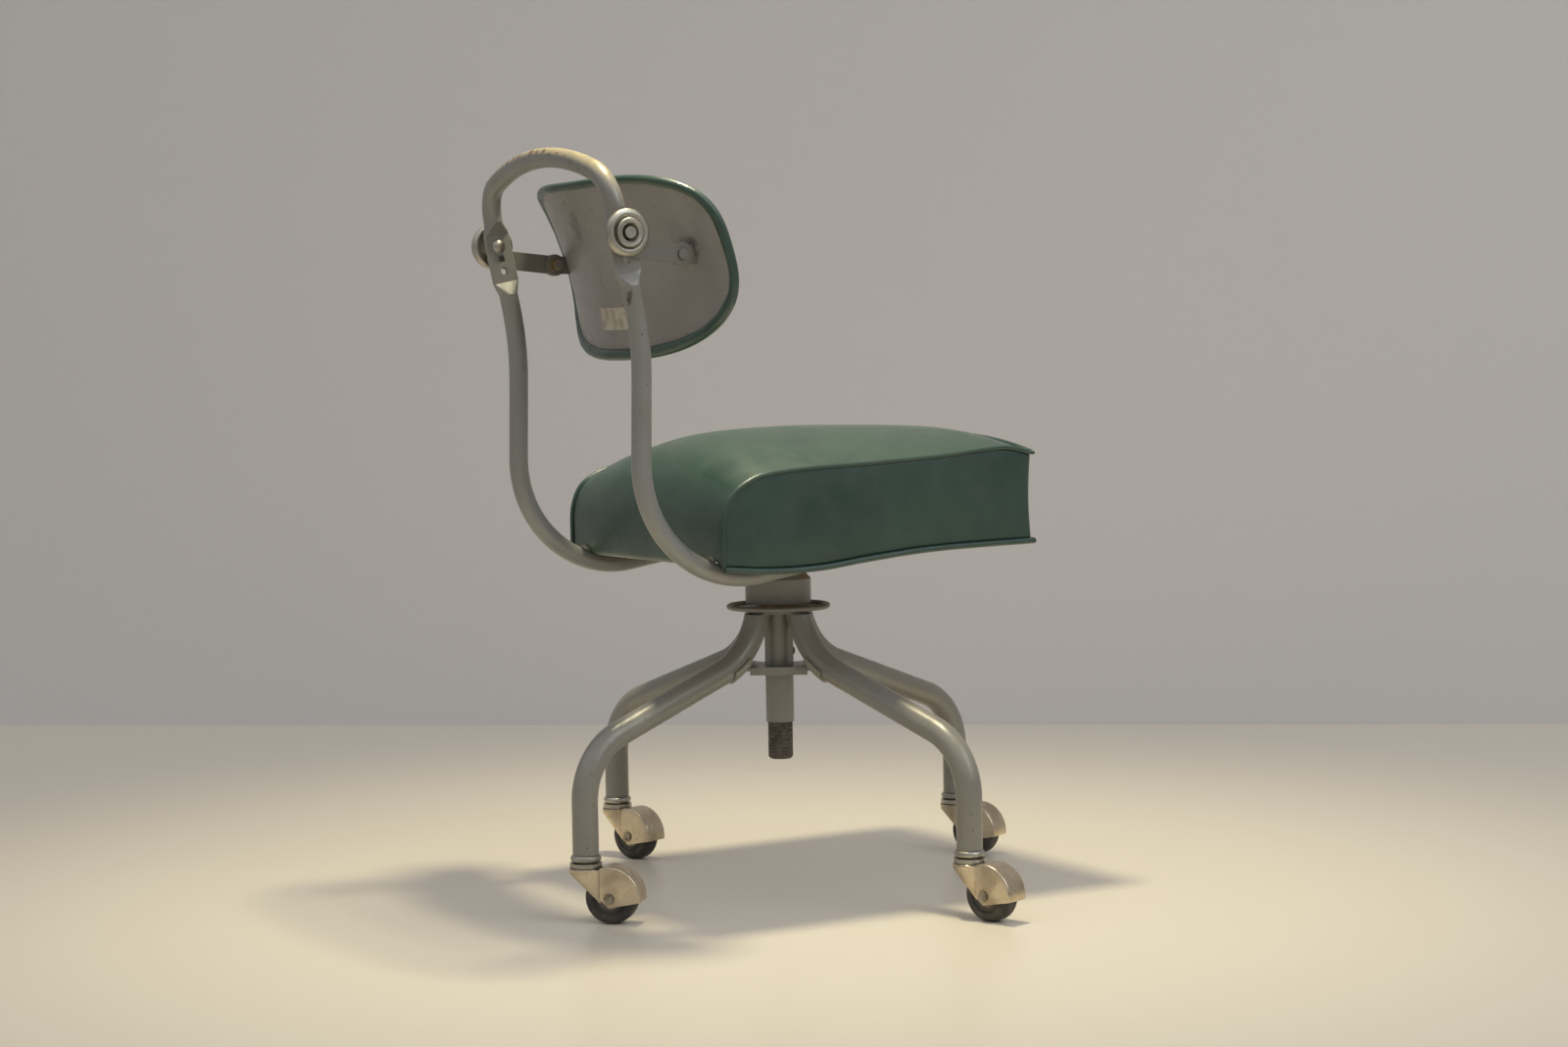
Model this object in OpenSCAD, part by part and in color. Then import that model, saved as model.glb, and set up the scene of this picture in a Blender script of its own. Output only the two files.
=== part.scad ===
// Adjustable posture stool: four-leg tube base on casters, screw lift with a
// handwheel, swivelling upholstered seat and a backrest on two clamped arms.
// Origin on the floor under the column, +Z up, front of the seat towards -Y.

/* [Base] */
// Distance from the column axis to each caster stem
base_r = 260.6; // [230:0.1:320]
// Turn of the base under the seat
base_turn = 12.5; // [0:0.5:90]
// Height of the top ends of the legs
hub_z = 281; // [270:1:360]
// Height of the bottom ends of the legs
leg_end_z = 66; // [60:1:75]
// Outside diameter of a leg tube
leg_d = 25.4; // [22:0.1:28]
// Wall of a leg tube
leg_wall = 1.6; // [1.2:0.1:2.5]
// Slope of a leg below the horizontal
leg_slope = 19.1; // [15:0.1:22]
// Radius of the upper bend of a leg
leg_top_bend = 80; // [70:1:90]
// Radius of the knee bend of a leg
leg_knee_bend = 65; // [50:1:75]
// Outside diameter of the column sleeve
sleeve_d = 28.6; // [28:0.1:32]
// Height of the bottom end of the column sleeve
sleeve_z = 169; // [150:1:190]
// Height of the top face of the brace plate
brace_z = 227; // [222:0.5:232]
// Half the width of the brace plate
brace_half = 29; // [26:0.5:34]

/* [Lift] */
// Diameter of the lift spindle
spindle_d = 25.2; // [20:0.1:25.4]
// Length of the spindle below the sleeve in the lowest position
spindle_drop = 38; // [20:1:60]
// Radius of the handwheel
wheel_r = 53; // [45:0.5:70]
// Radius of the rolled rim of the handwheel
rim_r = 2.8; // [2:0.1:4]

/* [Casters] */
// Diameter of a caster wheel
caster_d = 50.8; // [45:0.1:54]
// Width of a caster wheel
caster_w = 20; // [16:0.5:22]
// Distance from the swivel axis back to the axle
trail = 26; // [24:0.5:30]
// Radius of the hood over the wheel
hood_r = 30.5; // [30:0.1:33]
// Thickness of the hood's pressed sheet
hood_t = 1.5; // [1:0.1:2]

/* [Seat frame] */
// Distance between the centre lines of the two uprights
frame_gap = 263; // [240:1:300]
// Outside diameter of the frame tube
frame_d = 19.05; // [16:0.05:22]
// Wall of the frame tube
frame_wall = 1.5; // [1.2:0.1:2]
// Lowest height of the frame tube's centre line
low_z = 330.5; // [328:0.5:340]
// How far behind the column the tube is lowest
low_y = 117; // [105:1:130]
// Radius of the bend from seat to upright
low_bend = 109; // [95:1:115]
// Rise of the tube ends under the seat, forward
under_slope = 9.5; // [8:0.1:11]
// Forward lean of the lower upright
lean_fwd = 1.5; // [0:0.1:3]
// Height where the upright starts to bend back
bend_z = 520; // [500:1:560]
// Radius of the bend in the upright
mid_bend = 330; // [250:5:400]
// Backward lean of the top of the frame
lean_back = 11.8; // [8:0.1:16]
// Height of the start of the arch
arch_z = 680; // [670:1:760]
// Radius of each arch corner
arch_corner = 40; // [32:1:60]
// Width of the flattened part of the upright
flat_w = 28.5; // [26:0.1:30]
// Thickness of the flattened part of the upright
flat_t = 4; // [3.2:0.1:6]
// Distance between the square height holes
hole_pitch = 12.7; // [10:0.1:15]

/* [Seat] */
// Half the width of the seat at its side panels
seat_half = 163; // [150:1:190]
// Distance from the column to the back of the seat
seat_back = 151; // [145:1:165]
// Distance from the column to the front of the seat
seat_front = 209; // [180:1:250]
// Height of the side panels' top edge at the front
side_top = 446; // [430:1:470]
// Height of the crown of the seat
crown_z = 470; // [455:1:490]
// Thickness of the plywood pan
pan_t = 9; // [6:0.5:12]

/* [Backrest] */
// Distance from the clamp bolt forward to the backrest pivot
arm_reach = 64.5; // [55:0.5:75]
// Drop from the clamp bolt to the arm's centre line
arm_drop = 12.6; // [11:0.1:16]
// Width of an arm's flat bar
arm_w = 18.5; // [16:0.5:20]
// Thickness of an arm's flat bar
arm_t = 3; // [2.5:0.1:4]
// Forward dip of the arms in the stored position
arm_dip = 5.4; // [0:0.1:12]
// Half the width of the backrest
back_half = 168.5; // [150:0.5:190]
// Half the height of the backrest
back_height = 90.7; // [75:0.5:110]
// Sideways curve radius of the backrest
back_curve = 335; // [300:5:450]
// Upright curve radius of the backrest
back_arch = 400; // [300:5:600]
// Backward tilt of the backrest
back_tilt = 17.2; // [10:0.1:20]
// Thickness of the backrest's steel shell
shell_t = 1.5; // [1:0.1:2]
// Thickness of the backrest's padding
pad_t = 22; // [15:1:30]
// Diameter of a clamp knob
knob_d = 45; // [35:1:50]

/* [Fits] */
// Radial clearance of a running fit
run = 0.05; // [0.02:0.01:0.1]
// Gap between faces that turn past each other
gap = 0.3; // [0.2:0.05:0.5]

/* [Hidden] */
$fn = 64;

// Trailing direction of each caster, counted like the legs
HEADINGS = [-160, -134, -162.5, -156];
TINY = 0.01;

// Legs
leg_r0 = 27.5;
top_rise = 19;
top_c = [leg_r0 + leg_top_bend, hub_z + top_rise];
slope_in = top_c + leg_top_bend * [-sin(leg_slope), -cos(leg_slope)];
knee_r = base_r - leg_knee_bend;
slope_out_r = knee_r + leg_knee_bend * sin(leg_slope);
slope_len = (slope_out_r - slope_in[0]) / cos(leg_slope);
knee_z = slope_in[1] - slope_len * sin(leg_slope) - leg_knee_bend * cos(leg_slope);

// Column and lift
sleeve_in = spindle_d / 2 + run;
sleeve_top_d = sleeve_d + 0.4;
brace_sheet = 2.5;
brace_lip = 8;
sleeve_step_z = brace_z - brace_lip;
guide_z = brace_z + 13;
guide_head_r = 4.5;
guide_hole_r = 2.5;
hub_t = 3;
hub_plate_r = 34;
wheel_z = hub_z + hub_t + gap;
nut_h = 15;
nut_r = 19;
race_z = wheel_z + nut_h + 2.5;
race_t = 3;
ball_r = 3;
ball_ring = 14;
journal_r = 9.5;
race_r = 18;
key_w = 4;
key_depth = 2.5;
key_turn = -80;

// Swivel housing
house_r = 33.5;
house_z = wheel_z + 6;
house_top = house_z + 25;
boss_r = 27.5;
boss_z = house_top + 6.5;
up_race_z = race_z + race_t + 2 * ball_r;
cap_z = up_race_z + 25;

// Frame tube, as points [y, z] in the plane of one upright
low_c = [low_y, low_z + low_bend];
under_end = low_c + low_bend * [-sin(under_slope), -cos(under_slope)];
tube_front = -20;
under_len = (under_end[0] - tube_front) / cos(under_slope);
rise_in = low_c + low_bend * [cos(lean_fwd), sin(lean_fwd)];
rise_len = (bend_z - rise_in[1]) / cos(lean_fwd);
bend_in = rise_in + rise_len * [-sin(lean_fwd), cos(lean_fwd)];
mid_c = bend_in + mid_bend * [cos(lean_fwd), sin(lean_fwd)];
bend_out = mid_c + mid_bend * [-cos(lean_back), sin(lean_back)];
top_len = (arch_z - bend_out[1]) / cos(lean_back);
arch_at = bend_out + top_len * [sin(lean_back), cos(lean_back)];
half_gap = frame_gap / 2;
corner_span = 70;
arch_r = arch_corner + (half_gap - arch_corner) / cos(corner_span);
arch_drop = (arch_r - arch_corner) * sin(corner_span);
bolt_drop = 23.9;
bolt_at = arch_at - bolt_drop * [sin(lean_back), cos(lean_back)];
flat_half = hole_pitch + 11.3;
flat_taper = 13;
flat_mid = -bolt_drop - hole_pitch;

// Clamp bolts, arms and pivots, measured outward from the flat's middle
bolt_r = 3.175;
square_w = 6.4;
arm_in = flat_t / 2 + 0.1;
arm_out = arm_in + arm_t;
knob_in = arm_out + gap;
pivot_r = 4;
eye_r = 11;
pivot_at = bolt_at + [-arm_reach * cos(arm_dip) + arm_drop * sin(arm_dip),
    -arm_reach * sin(arm_dip) - arm_drop * cos(arm_dip)];
ear_out = arm_in - gap;
ear_t = 3;
nut_out = ear_out - ear_t;

// Backrest, placed from its pivots
back_from_pivot = [11, -9];
back_at = pivot_at + back_from_pivot;
back_power = 3.4;

// Seat
pan_slope = 3.5;
pan_at = [tube_front, low_z + 32.5];
skirt = 15;
side_low = 336;

// Colours
PAINT = [0.50, 0.50, 0.47];
NICKEL = [0.66, 0.62, 0.54];
DARK_STEEL = [0.25, 0.23, 0.21];
BRASS = [0.75, 0.62, 0.35];
RUBBER = [0.12, 0.12, 0.11];
VINYL = [0.16, 0.26, 0.20];
SHELL_PAINT = [0.47, 0.44, 0.39];
PLY = [0.55, 0.42, 0.28];

// ---- tube helpers ----

// A bend is this much thicker than the straight tube on either side of it
swell = 0.1;
// A straight runs this far into the bends at its ends
lap = 0.5;

// Bend in the XZ plane about the origin, from angle a0 to a1
module bend(r, a0, a1, d) {
    rotate([90, 0, 0])
        rotate([0, 0, a0])
            rotate_extrude(angle = a1 - a0, $fn = 96)
                translate([r, 0]) circle(d = d + swell);
}

// Straight round bar upward from the origin, lengthened by more at both ends
module straight(len, d, more = 0) {
    translate([0, 0, -more]) cylinder(d = d, h = len + 2 * more);
}

// ---- base ----

// The run of one leg as a solid bar, open past its ends by more
module leg_bar(d, more) {
    translate([top_c[0], 0, top_c[1]]) bend(leg_top_bend, 184, 270 - leg_slope, d);
    translate([slope_in[0], 0, slope_in[1]]) rotate([0, 90 + leg_slope, 0]) straight(slope_len, d, lap);
    translate([knee_r, 0, knee_z]) bend(leg_knee_bend, 0, 90 - leg_slope, d);
    translate([base_r, 0, leg_end_z - more]) cylinder(d = d, h = knee_z - leg_end_z + more + lap);
}

module leg(n) {
    color(PAINT)
        rotate([0, 0, base_turn + 90 * (n - 1)])
            difference() {
                leg_bar(leg_d, 0);
                leg_bar(leg_d - 2 * leg_wall, 1);
                translate([0, -30, hub_z]) cube([60, 60, 40]);
            }
}

// Places a child at the swivel axis of caster n, turned with its leg
module at_leg(n) {
    rotate([0, 0, base_turn + 90 * (n - 1)]) translate([base_r, 0, 0]) children();
}

// Places a child at the swivel axis of caster n, turned to its heading
module at_caster(n) {
    at_leg(n) rotate([0, 0, HEADINGS[n - 1] - base_turn - 90 * (n - 1)]) children();
}

stem_r = 4.7;
ring_h = 7.5;
spigot_h = 22;

module ferrule(n) {
    color(NICKEL)
        at_leg(n)
            difference() {
                union() {
                    translate([0, 0, leg_end_z - ring_h / 2])
                        rotate_extrude() {
                            translate([0, -ring_h / 2]) square([leg_d / 2 - leg_wall, ring_h]);
                            translate([leg_d / 2 - leg_wall, 0]) circle(r = ring_h / 2);
                        }
                    translate([0, 0, leg_end_z])
                        cylinder(r = leg_d / 2 - leg_wall, h = spigot_h);
                }
                translate([0, 0, leg_end_z - ring_h - 1])
                    cylinder(r = stem_r, h = ring_h + spigot_h + 2);
                translate([0, 0, leg_end_z])
                    rotate_extrude()
                        translate([leg_d / 2 - leg_wall, 0]) square([10, ring_h]);
            }
}

cup_top = leg_end_z - ring_h - 0.5;
cup_h = 4;
hood_plate_z = cup_top - cup_h - gap;
hood_plate_t = 4.5;
swivel_r = 5;
rivet_r = 8;
axle_r = 3.2;
axle_z = caster_d / 2;
hood_half = caster_w / 2 + 3.5;
crease_x = 17;
hood_low = 16.5;
neck_low = 21;
neck_r = 16;

module caster_stem(n) {
    color(DARK_STEEL)
        at_leg(n) {
            translate([0, 0, cup_top - cup_h]) cylinder(r = 15.4, h = cup_h);
            translate([0, 0, cup_top - TINY]) cylinder(r = 10, h = leg_end_z - ring_h - cup_top + TINY);
            translate([0, 0, cup_top]) cylinder(r = stem_r, h = ring_h + spigot_h);
            translate([0, 0, hood_plate_z - hood_plate_t - 0.4])
                cylinder(r = swivel_r, h = hood_plate_t + 1);
            translate([0, 0, hood_plate_z - hood_plate_t - 2.4])
                cylinder(r = rivet_r, h = 2);
        }
}

// Side outline of the hood behind its crease, x back from the swivel axis
module hood_side() {
    intersection() {
        translate([trail, axle_z]) circle(r = hood_r, $fn = 96);
        polygon([[crease_x, 80], [crease_x, axle_z - 1], [trail, hood_low],
            [trail + hood_r + 5, axle_z - 2], [trail + hood_r + 5, 80]]);
    }
}

// Round at the stem and as wide as the hood at its crease
module hood_neck(low, high) {
    hull() {
        translate([0, 0, high - 2]) cylinder(r = neck_r, h = 2, $fn = 32);
        translate([0, 0, high - 5]) cylinder(r = neck_r - 0.5, h = 1, $fn = 32);
        translate([crease_x - 1, -hood_half, low]) cube([2, 2 * hood_half, high - low]);
    }
}

module caster_hood(n) {
    inner_half = hood_half - hood_t;
    foot = hood_plate_z - hood_plate_t;
    color(NICKEL)
        at_caster(n)
            difference() {
                union() {
                    translate([0, hood_half, 0])
                        rotate([90, 0, 0]) linear_extrude(height = 2 * hood_half) hood_side();
                    hood_neck(neck_low, hood_plate_z - 1);
                    translate([0, 0, foot]) cylinder(r = neck_r + 0.4, h = hood_plate_t);
                }
                translate([0, inner_half, 0])
                    rotate([90, 0, 0]) linear_extrude(height = 2 * inner_half) {
                        translate([trail, axle_z]) circle(r = hood_r - hood_t, $fn = 96);
                        translate([trail, 0]) square([hood_r - hood_t, axle_z]);
                        translate([-6, -1]) square([trail + 10, foot - 4]);
                    }
                translate([0, 0, foot - 1]) cylinder(r = swivel_r + run, h = hood_plate_t + 2);
                translate([0, 0, foot - 10]) cylinder(r = rivet_r + 0.6, h = 10);
                translate([trail, hood_half + 1, axle_z])
                    rotate([90, 0, 0]) cylinder(r = axle_r, h = 2 * hood_half + 2);
            }
}

module caster_axle(n) {
    color(NICKEL)
        at_caster(n)
            translate([trail, 0, caster_d / 2])
                rotate([90, 0, 0]) {
                    cylinder(r = axle_r, h = 2 * hood_half, center = true);
                    for (s = [-1, 1]) {
                        translate([0, 0, s * (hood_half + 0.75)])
                            cylinder(r = 4.6, h = 1.5, center = true);
                    }
                }
}

hub_r = 11;

module wheel_hub(n) {
    color(DARK_STEEL)
        at_caster(n)
            translate([trail, 0, caster_d / 2])
                rotate([90, 0, 0])
                    difference() {
                        union() {
                            cylinder(r = hub_r, h = caster_w, center = true);
                            cylinder(r = 6, h = caster_w + 3, center = true);
                        }
                        cylinder(r = axle_r + run, h = caster_w + 8, center = true);
                    }
}

module tyre(n) {
    edge = 5;
    color(RUBBER)
        at_caster(n)
            translate([trail, 0, caster_d / 2])
                rotate([90, 0, 0])
                    rotate_extrude($fn = 96)
                        difference() {
                            union() {
                                translate([hub_r, -caster_w / 2])
                                    square([caster_d / 2 - edge - hub_r, caster_w]);
                                translate([hub_r, -caster_w / 2 + edge])
                                    square([caster_d / 2 - hub_r, caster_w - 2 * edge]);
                                for (s = [-1, 1]) {
                                    translate([caster_d / 2 - edge, s * (caster_w / 2 - edge)])
                                        circle(r = edge);
                                }
                            }
                            for (s = [-1, 1]) {
                                translate([15.5, s * caster_w / 2]) circle(r = 1.5);
                            }
                        }
}

module column_sleeve() {
    color(PAINT)
        difference() {
            union() {
                translate([0, 0, sleeve_z]) cylinder(d = sleeve_d, h = sleeve_step_z - sleeve_z + 1);
                translate([0, 0, sleeve_step_z])
                    cylinder(d = sleeve_top_d, h = hub_z + hub_t - sleeve_step_z);
            }
            translate([0, 0, sleeve_z - 1]) cylinder(r = sleeve_in, h = hub_z + hub_t + 2 - sleeve_z);
            rotate([0, 0, key_turn])
                translate([0, 0, guide_z])
                    rotate([0, 90, 0]) cylinder(r = guide_hole_r, h = sleeve_top_d);
        }
}

module hub_plate() {
    color(PAINT)
        difference() {
            translate([0, 0, hub_z]) cylinder(r = hub_plate_r, h = hub_t);
            translate([0, 0, hub_z - 1]) cylinder(d = sleeve_top_d, h = hub_t + 2);
        }
}

module brace_plate() {
    sheet = brace_sheet;
    lip = brace_lip;
    tab_t = 2.4;
    tab_from = 228;
    tab_to = 246;
    arm_half = 8;
    arm_end = 56;
    color(PAINT)
        union() {
            difference() {
                rotate([0, 0, base_turn + 45])
                    translate([-brace_half, -brace_half, brace_z - lip])
                        cube([2 * brace_half, 2 * brace_half, lip]);
                rotate([0, 0, base_turn + 45])
                    translate([sheet - brace_half, sheet - brace_half, brace_z - lip - 1])
                        cube([2 * (brace_half - sheet), 2 * (brace_half - sheet), lip + 1 - sheet]);
                translate([0, 0, brace_z - 20]) cylinder(d = sleeve_top_d, h = 40);
            }
            for (n = [1:4]) {
                rotate([0, 0, base_turn + 90 * (n - 1)]) {
                    difference() {
                        translate([brace_half, -arm_half, brace_z - sheet])
                            cube([arm_end - brace_half, 2 * arm_half, sheet]);
                        translate([top_c[0], 0, top_c[1]])
                            bend(leg_top_bend, 200, 265, leg_d + tab_t);
                    }
                    translate([top_c[0], 0, top_c[1]])
                        rotate([90, 0, 0])
                            rotate([0, 0, tab_from])
                                rotate_extrude(angle = tab_to - tab_from, $fn = 96)
                                    translate([leg_top_bend, 0]) tab_section(tab_t);
                }
            }
        }
}

// Part of a tube wall that hugs the underside of a leg
module tab_section(t) {
    intersection() {
        difference() {
            circle(r = leg_d / 2 + t);
            circle(d = leg_d + swell);
        }
        translate([2, -30]) square([40, 60]);
    }
}

module guide_screw() {
    color(DARK_STEEL)
        rotate([0, 0, key_turn])
            translate([0, 0, guide_z])
                rotate([0, 90, 0]) {
                    translate([0, 0, spindle_d / 2 - key_depth + 0.4])
                        cylinder(r = key_w / 2 - 0.1, h = key_depth + 2);
                    translate([0, 0, sleeve_top_d / 2 - 1.2]) cylinder(r = guide_hole_r, h = 1.8);
                    translate([0, 0, sleeve_top_d / 2 + 0.3]) cylinder(r = guide_head_r, h = 3);
                }
}

// ---- lift ----

module handwheel() {
    floor_t = 2;
    color(DARK_STEEL)
        translate([0, 0, wheel_z])
            rotate_extrude($fn = 96) {
                translate([nut_r, 0]) square([wheel_r - rim_r - nut_r, floor_t]);
                translate([wheel_r - rim_r, rim_r]) circle(r = rim_r);
            }
}

module lift_nut() {
    color(BRASS)
        translate([0, 0, wheel_z])
            difference() {
                cylinder(r = nut_r, h = nut_h);
                translate([0, 0, -1]) cylinder(r = spindle_d / 2 + run, h = nut_h + 2);
            }
}

module spindle() {
    bottom = sleeve_z - spindle_drop;
    chamfer = 2;
    groove_pitch = 3;
    thread_top = race_z - 3;
    color(DARK_STEEL)
        difference() {
            union() {
                translate([0, 0, bottom])
                    cylinder(r1 = spindle_d / 2 - chamfer, r2 = spindle_d / 2, h = chamfer);
                translate([0, 0, bottom + chamfer])
                    cylinder(d = spindle_d, h = race_z - bottom - chamfer);
                translate([0, 0, race_z]) cylinder(r = journal_r, h = cap_z + 9 - race_z);
            }
            for (z = [bottom + 5:groove_pitch:thread_top]) {
                translate([0, 0, z])
                    rotate_extrude()
                        translate([spindle_d / 2 + 0.45, 0]) rotate([0, 0, 45]) square(1.1, center = true);
            }
            rotate([0, 0, key_turn])
                translate([spindle_d / 2 - key_depth, -key_w / 2, bottom - 1])
                    cube([10, key_w, race_z - 12 - bottom]);
        }
}

module lower_race() {
    color(DARK_STEEL)
        translate([0, 0, race_z])
            difference() {
                cylinder(r = race_r, h = race_t);
                translate([0, 0, -1]) cylinder(r = journal_r, h = race_t + 2);
            }
}

// ---- swivel head ----

module ball_cage() {
    balls = 10;
    mid = race_z + race_t + ball_r;
    color(BRASS)
        translate([0, 0, mid]) {
            difference() {
                cylinder(r = race_r - 1, h = 1.6, center = true);
                cylinder(r = journal_r + 1, h = 4, center = true);
            }
            for (i = [1:balls]) {
                rotate([0, 0, 360 / balls * i])
                    translate([ball_ring, 0, 0]) sphere(r = ball_r - run, $fn = 32);
            }
        }
}

// The plane of the cross plate: its middle is on the tubes' centre line
plate_y = 16;
plate_mid = [plate_y, under_end[1] + (under_end[0] - plate_y) * tan(under_slope)];
plate_t = 4;

module in_plate_plane() {
    translate([0, plate_mid[0], plate_mid[1]]) rotate([-under_slope, 0, 0]) children();
}

module swivel_housing() {
    color(PAINT)
        difference() {
            union() {
                translate([0, 0, house_z]) cylinder(r = house_r, h = house_top - house_z);
                translate([0, 0, house_top])
                    cylinder(r1 = house_r, r2 = boss_r, h = boss_z - house_top);
                translate([0, 0, boss_z]) cylinder(r = boss_r, h = 40);
            }
            in_plate_plane() translate([-60, -90, -plate_t / 2]) cube([120, 160, 80]);
            translate([0, 0, house_z - 1]) cylinder(r = house_r - 3, h = race_z - house_z);
            translate([0, 0, race_z - 2]) cylinder(r = race_r + 1, h = up_race_z - race_z + 2);
            translate([0, 0, race_z]) cylinder(r = journal_r + run, h = 60);
            translate([0, 0, cap_z]) cylinder(r = 17, h = 40);
        }
}

module swivel_nut() {
    color(DARK_STEEL)
        translate([0, 0, cap_z + gap])
            difference() {
                cylinder(r = 14.5, h = 7, $fn = 6);
                translate([0, 0, -1]) cylinder(r = journal_r, h = 9);
            }
}

module cross_plate() {
    length = 84;
    color(PAINT)
        difference() {
            in_plate_plane() {
                difference() {
                    translate([-half_gap, -length / 2, -plate_t / 2])
                        cube([2 * half_gap, length, plate_t]);
                    translate([0, -plate_mid[0], -10]) cylinder(r = 17.5, h = 20);
                }
            }
            for (s = [-1, 1]) {
                translate([s * half_gap, under_end[0], under_end[1]])
                    rotate([90 - under_slope, 0, 0]) cylinder(d = frame_d, h = under_len + 60);
            }
        }
}

// The plane of the pan's underside
module in_pan_plane() {
    translate([0, pan_at[0], pan_at[1]]) rotate([-pan_slope, 0, 0]) children();
}

module pan_rest() {
    rest_y = 80;
    web = 3;
    color(PAINT)
        difference() {
            in_pan_plane() {
                translate([-half_gap - 6, rest_y - 12, -web]) cube([frame_gap + 12, 24, web]);
                for (s = [-1, 1]) {
                    translate([s * half_gap - 9, rest_y - web / 2, -22]) cube([18, web, 22]);
                }
            }
            for (s = [-1, 1]) {
                translate([s * half_gap, under_end[0], under_end[1]])
                    rotate([90 - under_slope, 0, 0]) cylinder(d = frame_d, h = under_len);
            }
            translate([-200, 0, low_z - 40]) cube([400, 100, 48]);
        }
}

// ---- seat frame ----

// Bends of one upright turn in the YZ plane: this maps [r, z] of XZ onto it
module in_side(s) {
    translate([s * half_gap, 0, 0]) rotate([0, 0, 90]) children();
}

// Half of the frame's run as a solid bar, from the front end to the flat
module upright_bar(s, d, more) {
    in_side(s) {
        translate([low_c[0], 0, low_c[1]])
            bend(low_bend, -90 - under_slope, lean_fwd, d);
        translate([under_end[0], 0, under_end[1]])
            rotate([0, under_slope - 90, 0])
                translate([0, 0, -lap]) cylinder(d = d, h = under_len + more + lap);
        translate([rise_in[0], 0, rise_in[1]])
            rotate([0, -lean_fwd, 0]) straight(rise_len, d, lap);
        translate([mid_c[0], 0, mid_c[1]])
            bend(mid_bend, 180 - lean_back, 180 + lean_fwd, d);
    }
    at_arch(s)
        translate([0, 0, -top_len])
            straight(top_len + flat_mid - flat_half - flat_taper, d, lap);
}

// Flattened stretch of one upright, with its square holes
module upright_flat(s) {
    at_arch(s)
        difference() {
            union() {
                translate([0, 0, flat_mid - flat_half]) flat_bar(2 * flat_half);
                flat_end(flat_mid - flat_half, -1);
                flat_end(flat_mid + flat_half, 1);
            }
            for (i = [0:2]) {
                translate([0, 0, -bolt_drop - i * hole_pitch])
                    cube([30, square_w, square_w], center = true);
            }
        }
}

// The arch over the two uprights as a solid bar
module arch_bar(d) {
    translate([0, arch_at[0], arch_at[1]])
        rotate([-lean_back, 0, 0]) {
            for (s = [0, 1]) {
                mirror([s, 0, 0])
                    translate([half_gap - arch_corner, 0, 0])
                        bend(arch_corner, 0, corner_span, d);
            }
            translate([0, 0, -arch_drop])
                bend(arch_r, corner_span - 0.1, 180.1 - corner_span, d + swell);
        }
}

// Places a child at the top of upright s, with +Z along the leaning tube
module at_arch(s) {
    translate([s * half_gap, arch_at[0], arch_at[1]]) rotate([-lean_back, 0, 0]) children();
}

module flat_bar(h) {
    side = flat_w / 2 - flat_t / 2;
    linear_extrude(height = h) {
        square([flat_t, 2 * side], center = true);
        for (s = [-1, 1]) {
            translate([0, s * side]) circle(d = flat_t);
        }
    }
}

module flat_end(z, dir) {
    hull() {
        translate([0, 0, z - (dir > 0 ? 0 : TINY)]) {
            for (s = [-1, 1]) {
                translate([0, s * (flat_w - flat_t) / 2, 0]) cylinder(d = flat_t, h = TINY, $fn = 32);
            }
        }
        translate([0, 0, z + dir * flat_taper - (dir > 0 ? TINY : 0)])
            cylinder(d = frame_d - 0.3, h = TINY, $fn = 32);
    }
}

module seat_frame() {
    bore = frame_d - 2 * frame_wall;
    color(PAINT) {
        difference() {
            union() {
                upright_bar(-1, frame_d, 0);
                upright_bar(1, frame_d, 0);
                arch_bar(frame_d);
            }
            upright_bar(-1, bore, 1);
            upright_bar(1, bore, 1);
            arch_bar(bore);
        }
        upright_flat(-1);
        upright_flat(1);
    }
}

// ---- seat ----

module seat_pan() {
    color(PLY)
        in_pan_plane()
            translate([-seat_half + skirt + 2, -seat_front - pan_at[0] + skirt + 6, 0])
                cube([2 * (seat_half - skirt - 2), seat_front + seat_back - 2 * skirt - 12, pan_t]);
}

// Bar across the seat with its centre at y, z
module cross_bar(y, z, r, half) {
    translate([-half, y, z]) rotate([0, 90, 0]) cylinder(r = r, h = 2 * half, $fn = 32);
}

module seat_body() {
    flank = seat_half - 2;
    hull() {
        cross_bar(seat_back - 46, side_top - 62, 46, flank);
        cross_bar(seat_back - 4, side_low + 8, 4, flank);
        cross_bar(seat_back - 90, side_low + 3, 3, flank);
        cross_bar(10 - seat_front, side_top - 10, 10, flank - 1);
        cross_bar(4 - seat_front, side_low + 20, 4, flank - 1);
    }
    hull() {
        cross_bar(seat_back - 46, side_top - 58, 46, flank - 2);
        cross_bar(seat_back - 50, crown_z - 62, 52, seat_half - 60);
        cross_bar(seat_back - 90, crown_z - 40, 40, seat_half - 90);
        cross_bar(60 - seat_front, crown_z - 60, 60, seat_half - 90);
        cross_bar(24 - seat_front, crown_z - 34, 24, seat_half - 50);
        cross_bar(14 - seat_front, side_top - 14, 14, flank - 2);
    }
}

module seat_cushion() {
    notch = frame_d + 2;
    color(VINYL)
        difference() {
            seat_body();
            in_pan_plane()
                translate([-seat_half + skirt + 2, -seat_front - pan_at[0] + skirt + 6, -80])
                    cube([2 * (seat_half - skirt - 2), seat_front + seat_back - 2 * skirt - 12,
                        80 + pan_t]);
            for (s = [-1, 1]) {
                translate([s * half_gap - notch / 2, seat_back - skirt - 8, side_low - 20])
                    cube([notch, 40, low_z + frame_d / 2 + 8 - side_low + 20]);
            }
        }
}

// ---- backrest hardware ----

// Places a child at the clamp bolt of side s, +X outward from the flat's middle
module at_bolt(s) {
    translate([s * half_gap, bolt_at[0], bolt_at[1]])
        mirror([s < 0 ? 1 : 0, 0, 0]) children();
}

module at_pivot(s) {
    translate([s * half_gap, pivot_at[0], pivot_at[1]])
        mirror([s < 0 ? 1 : 0, 0, 0]) children();
}

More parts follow.
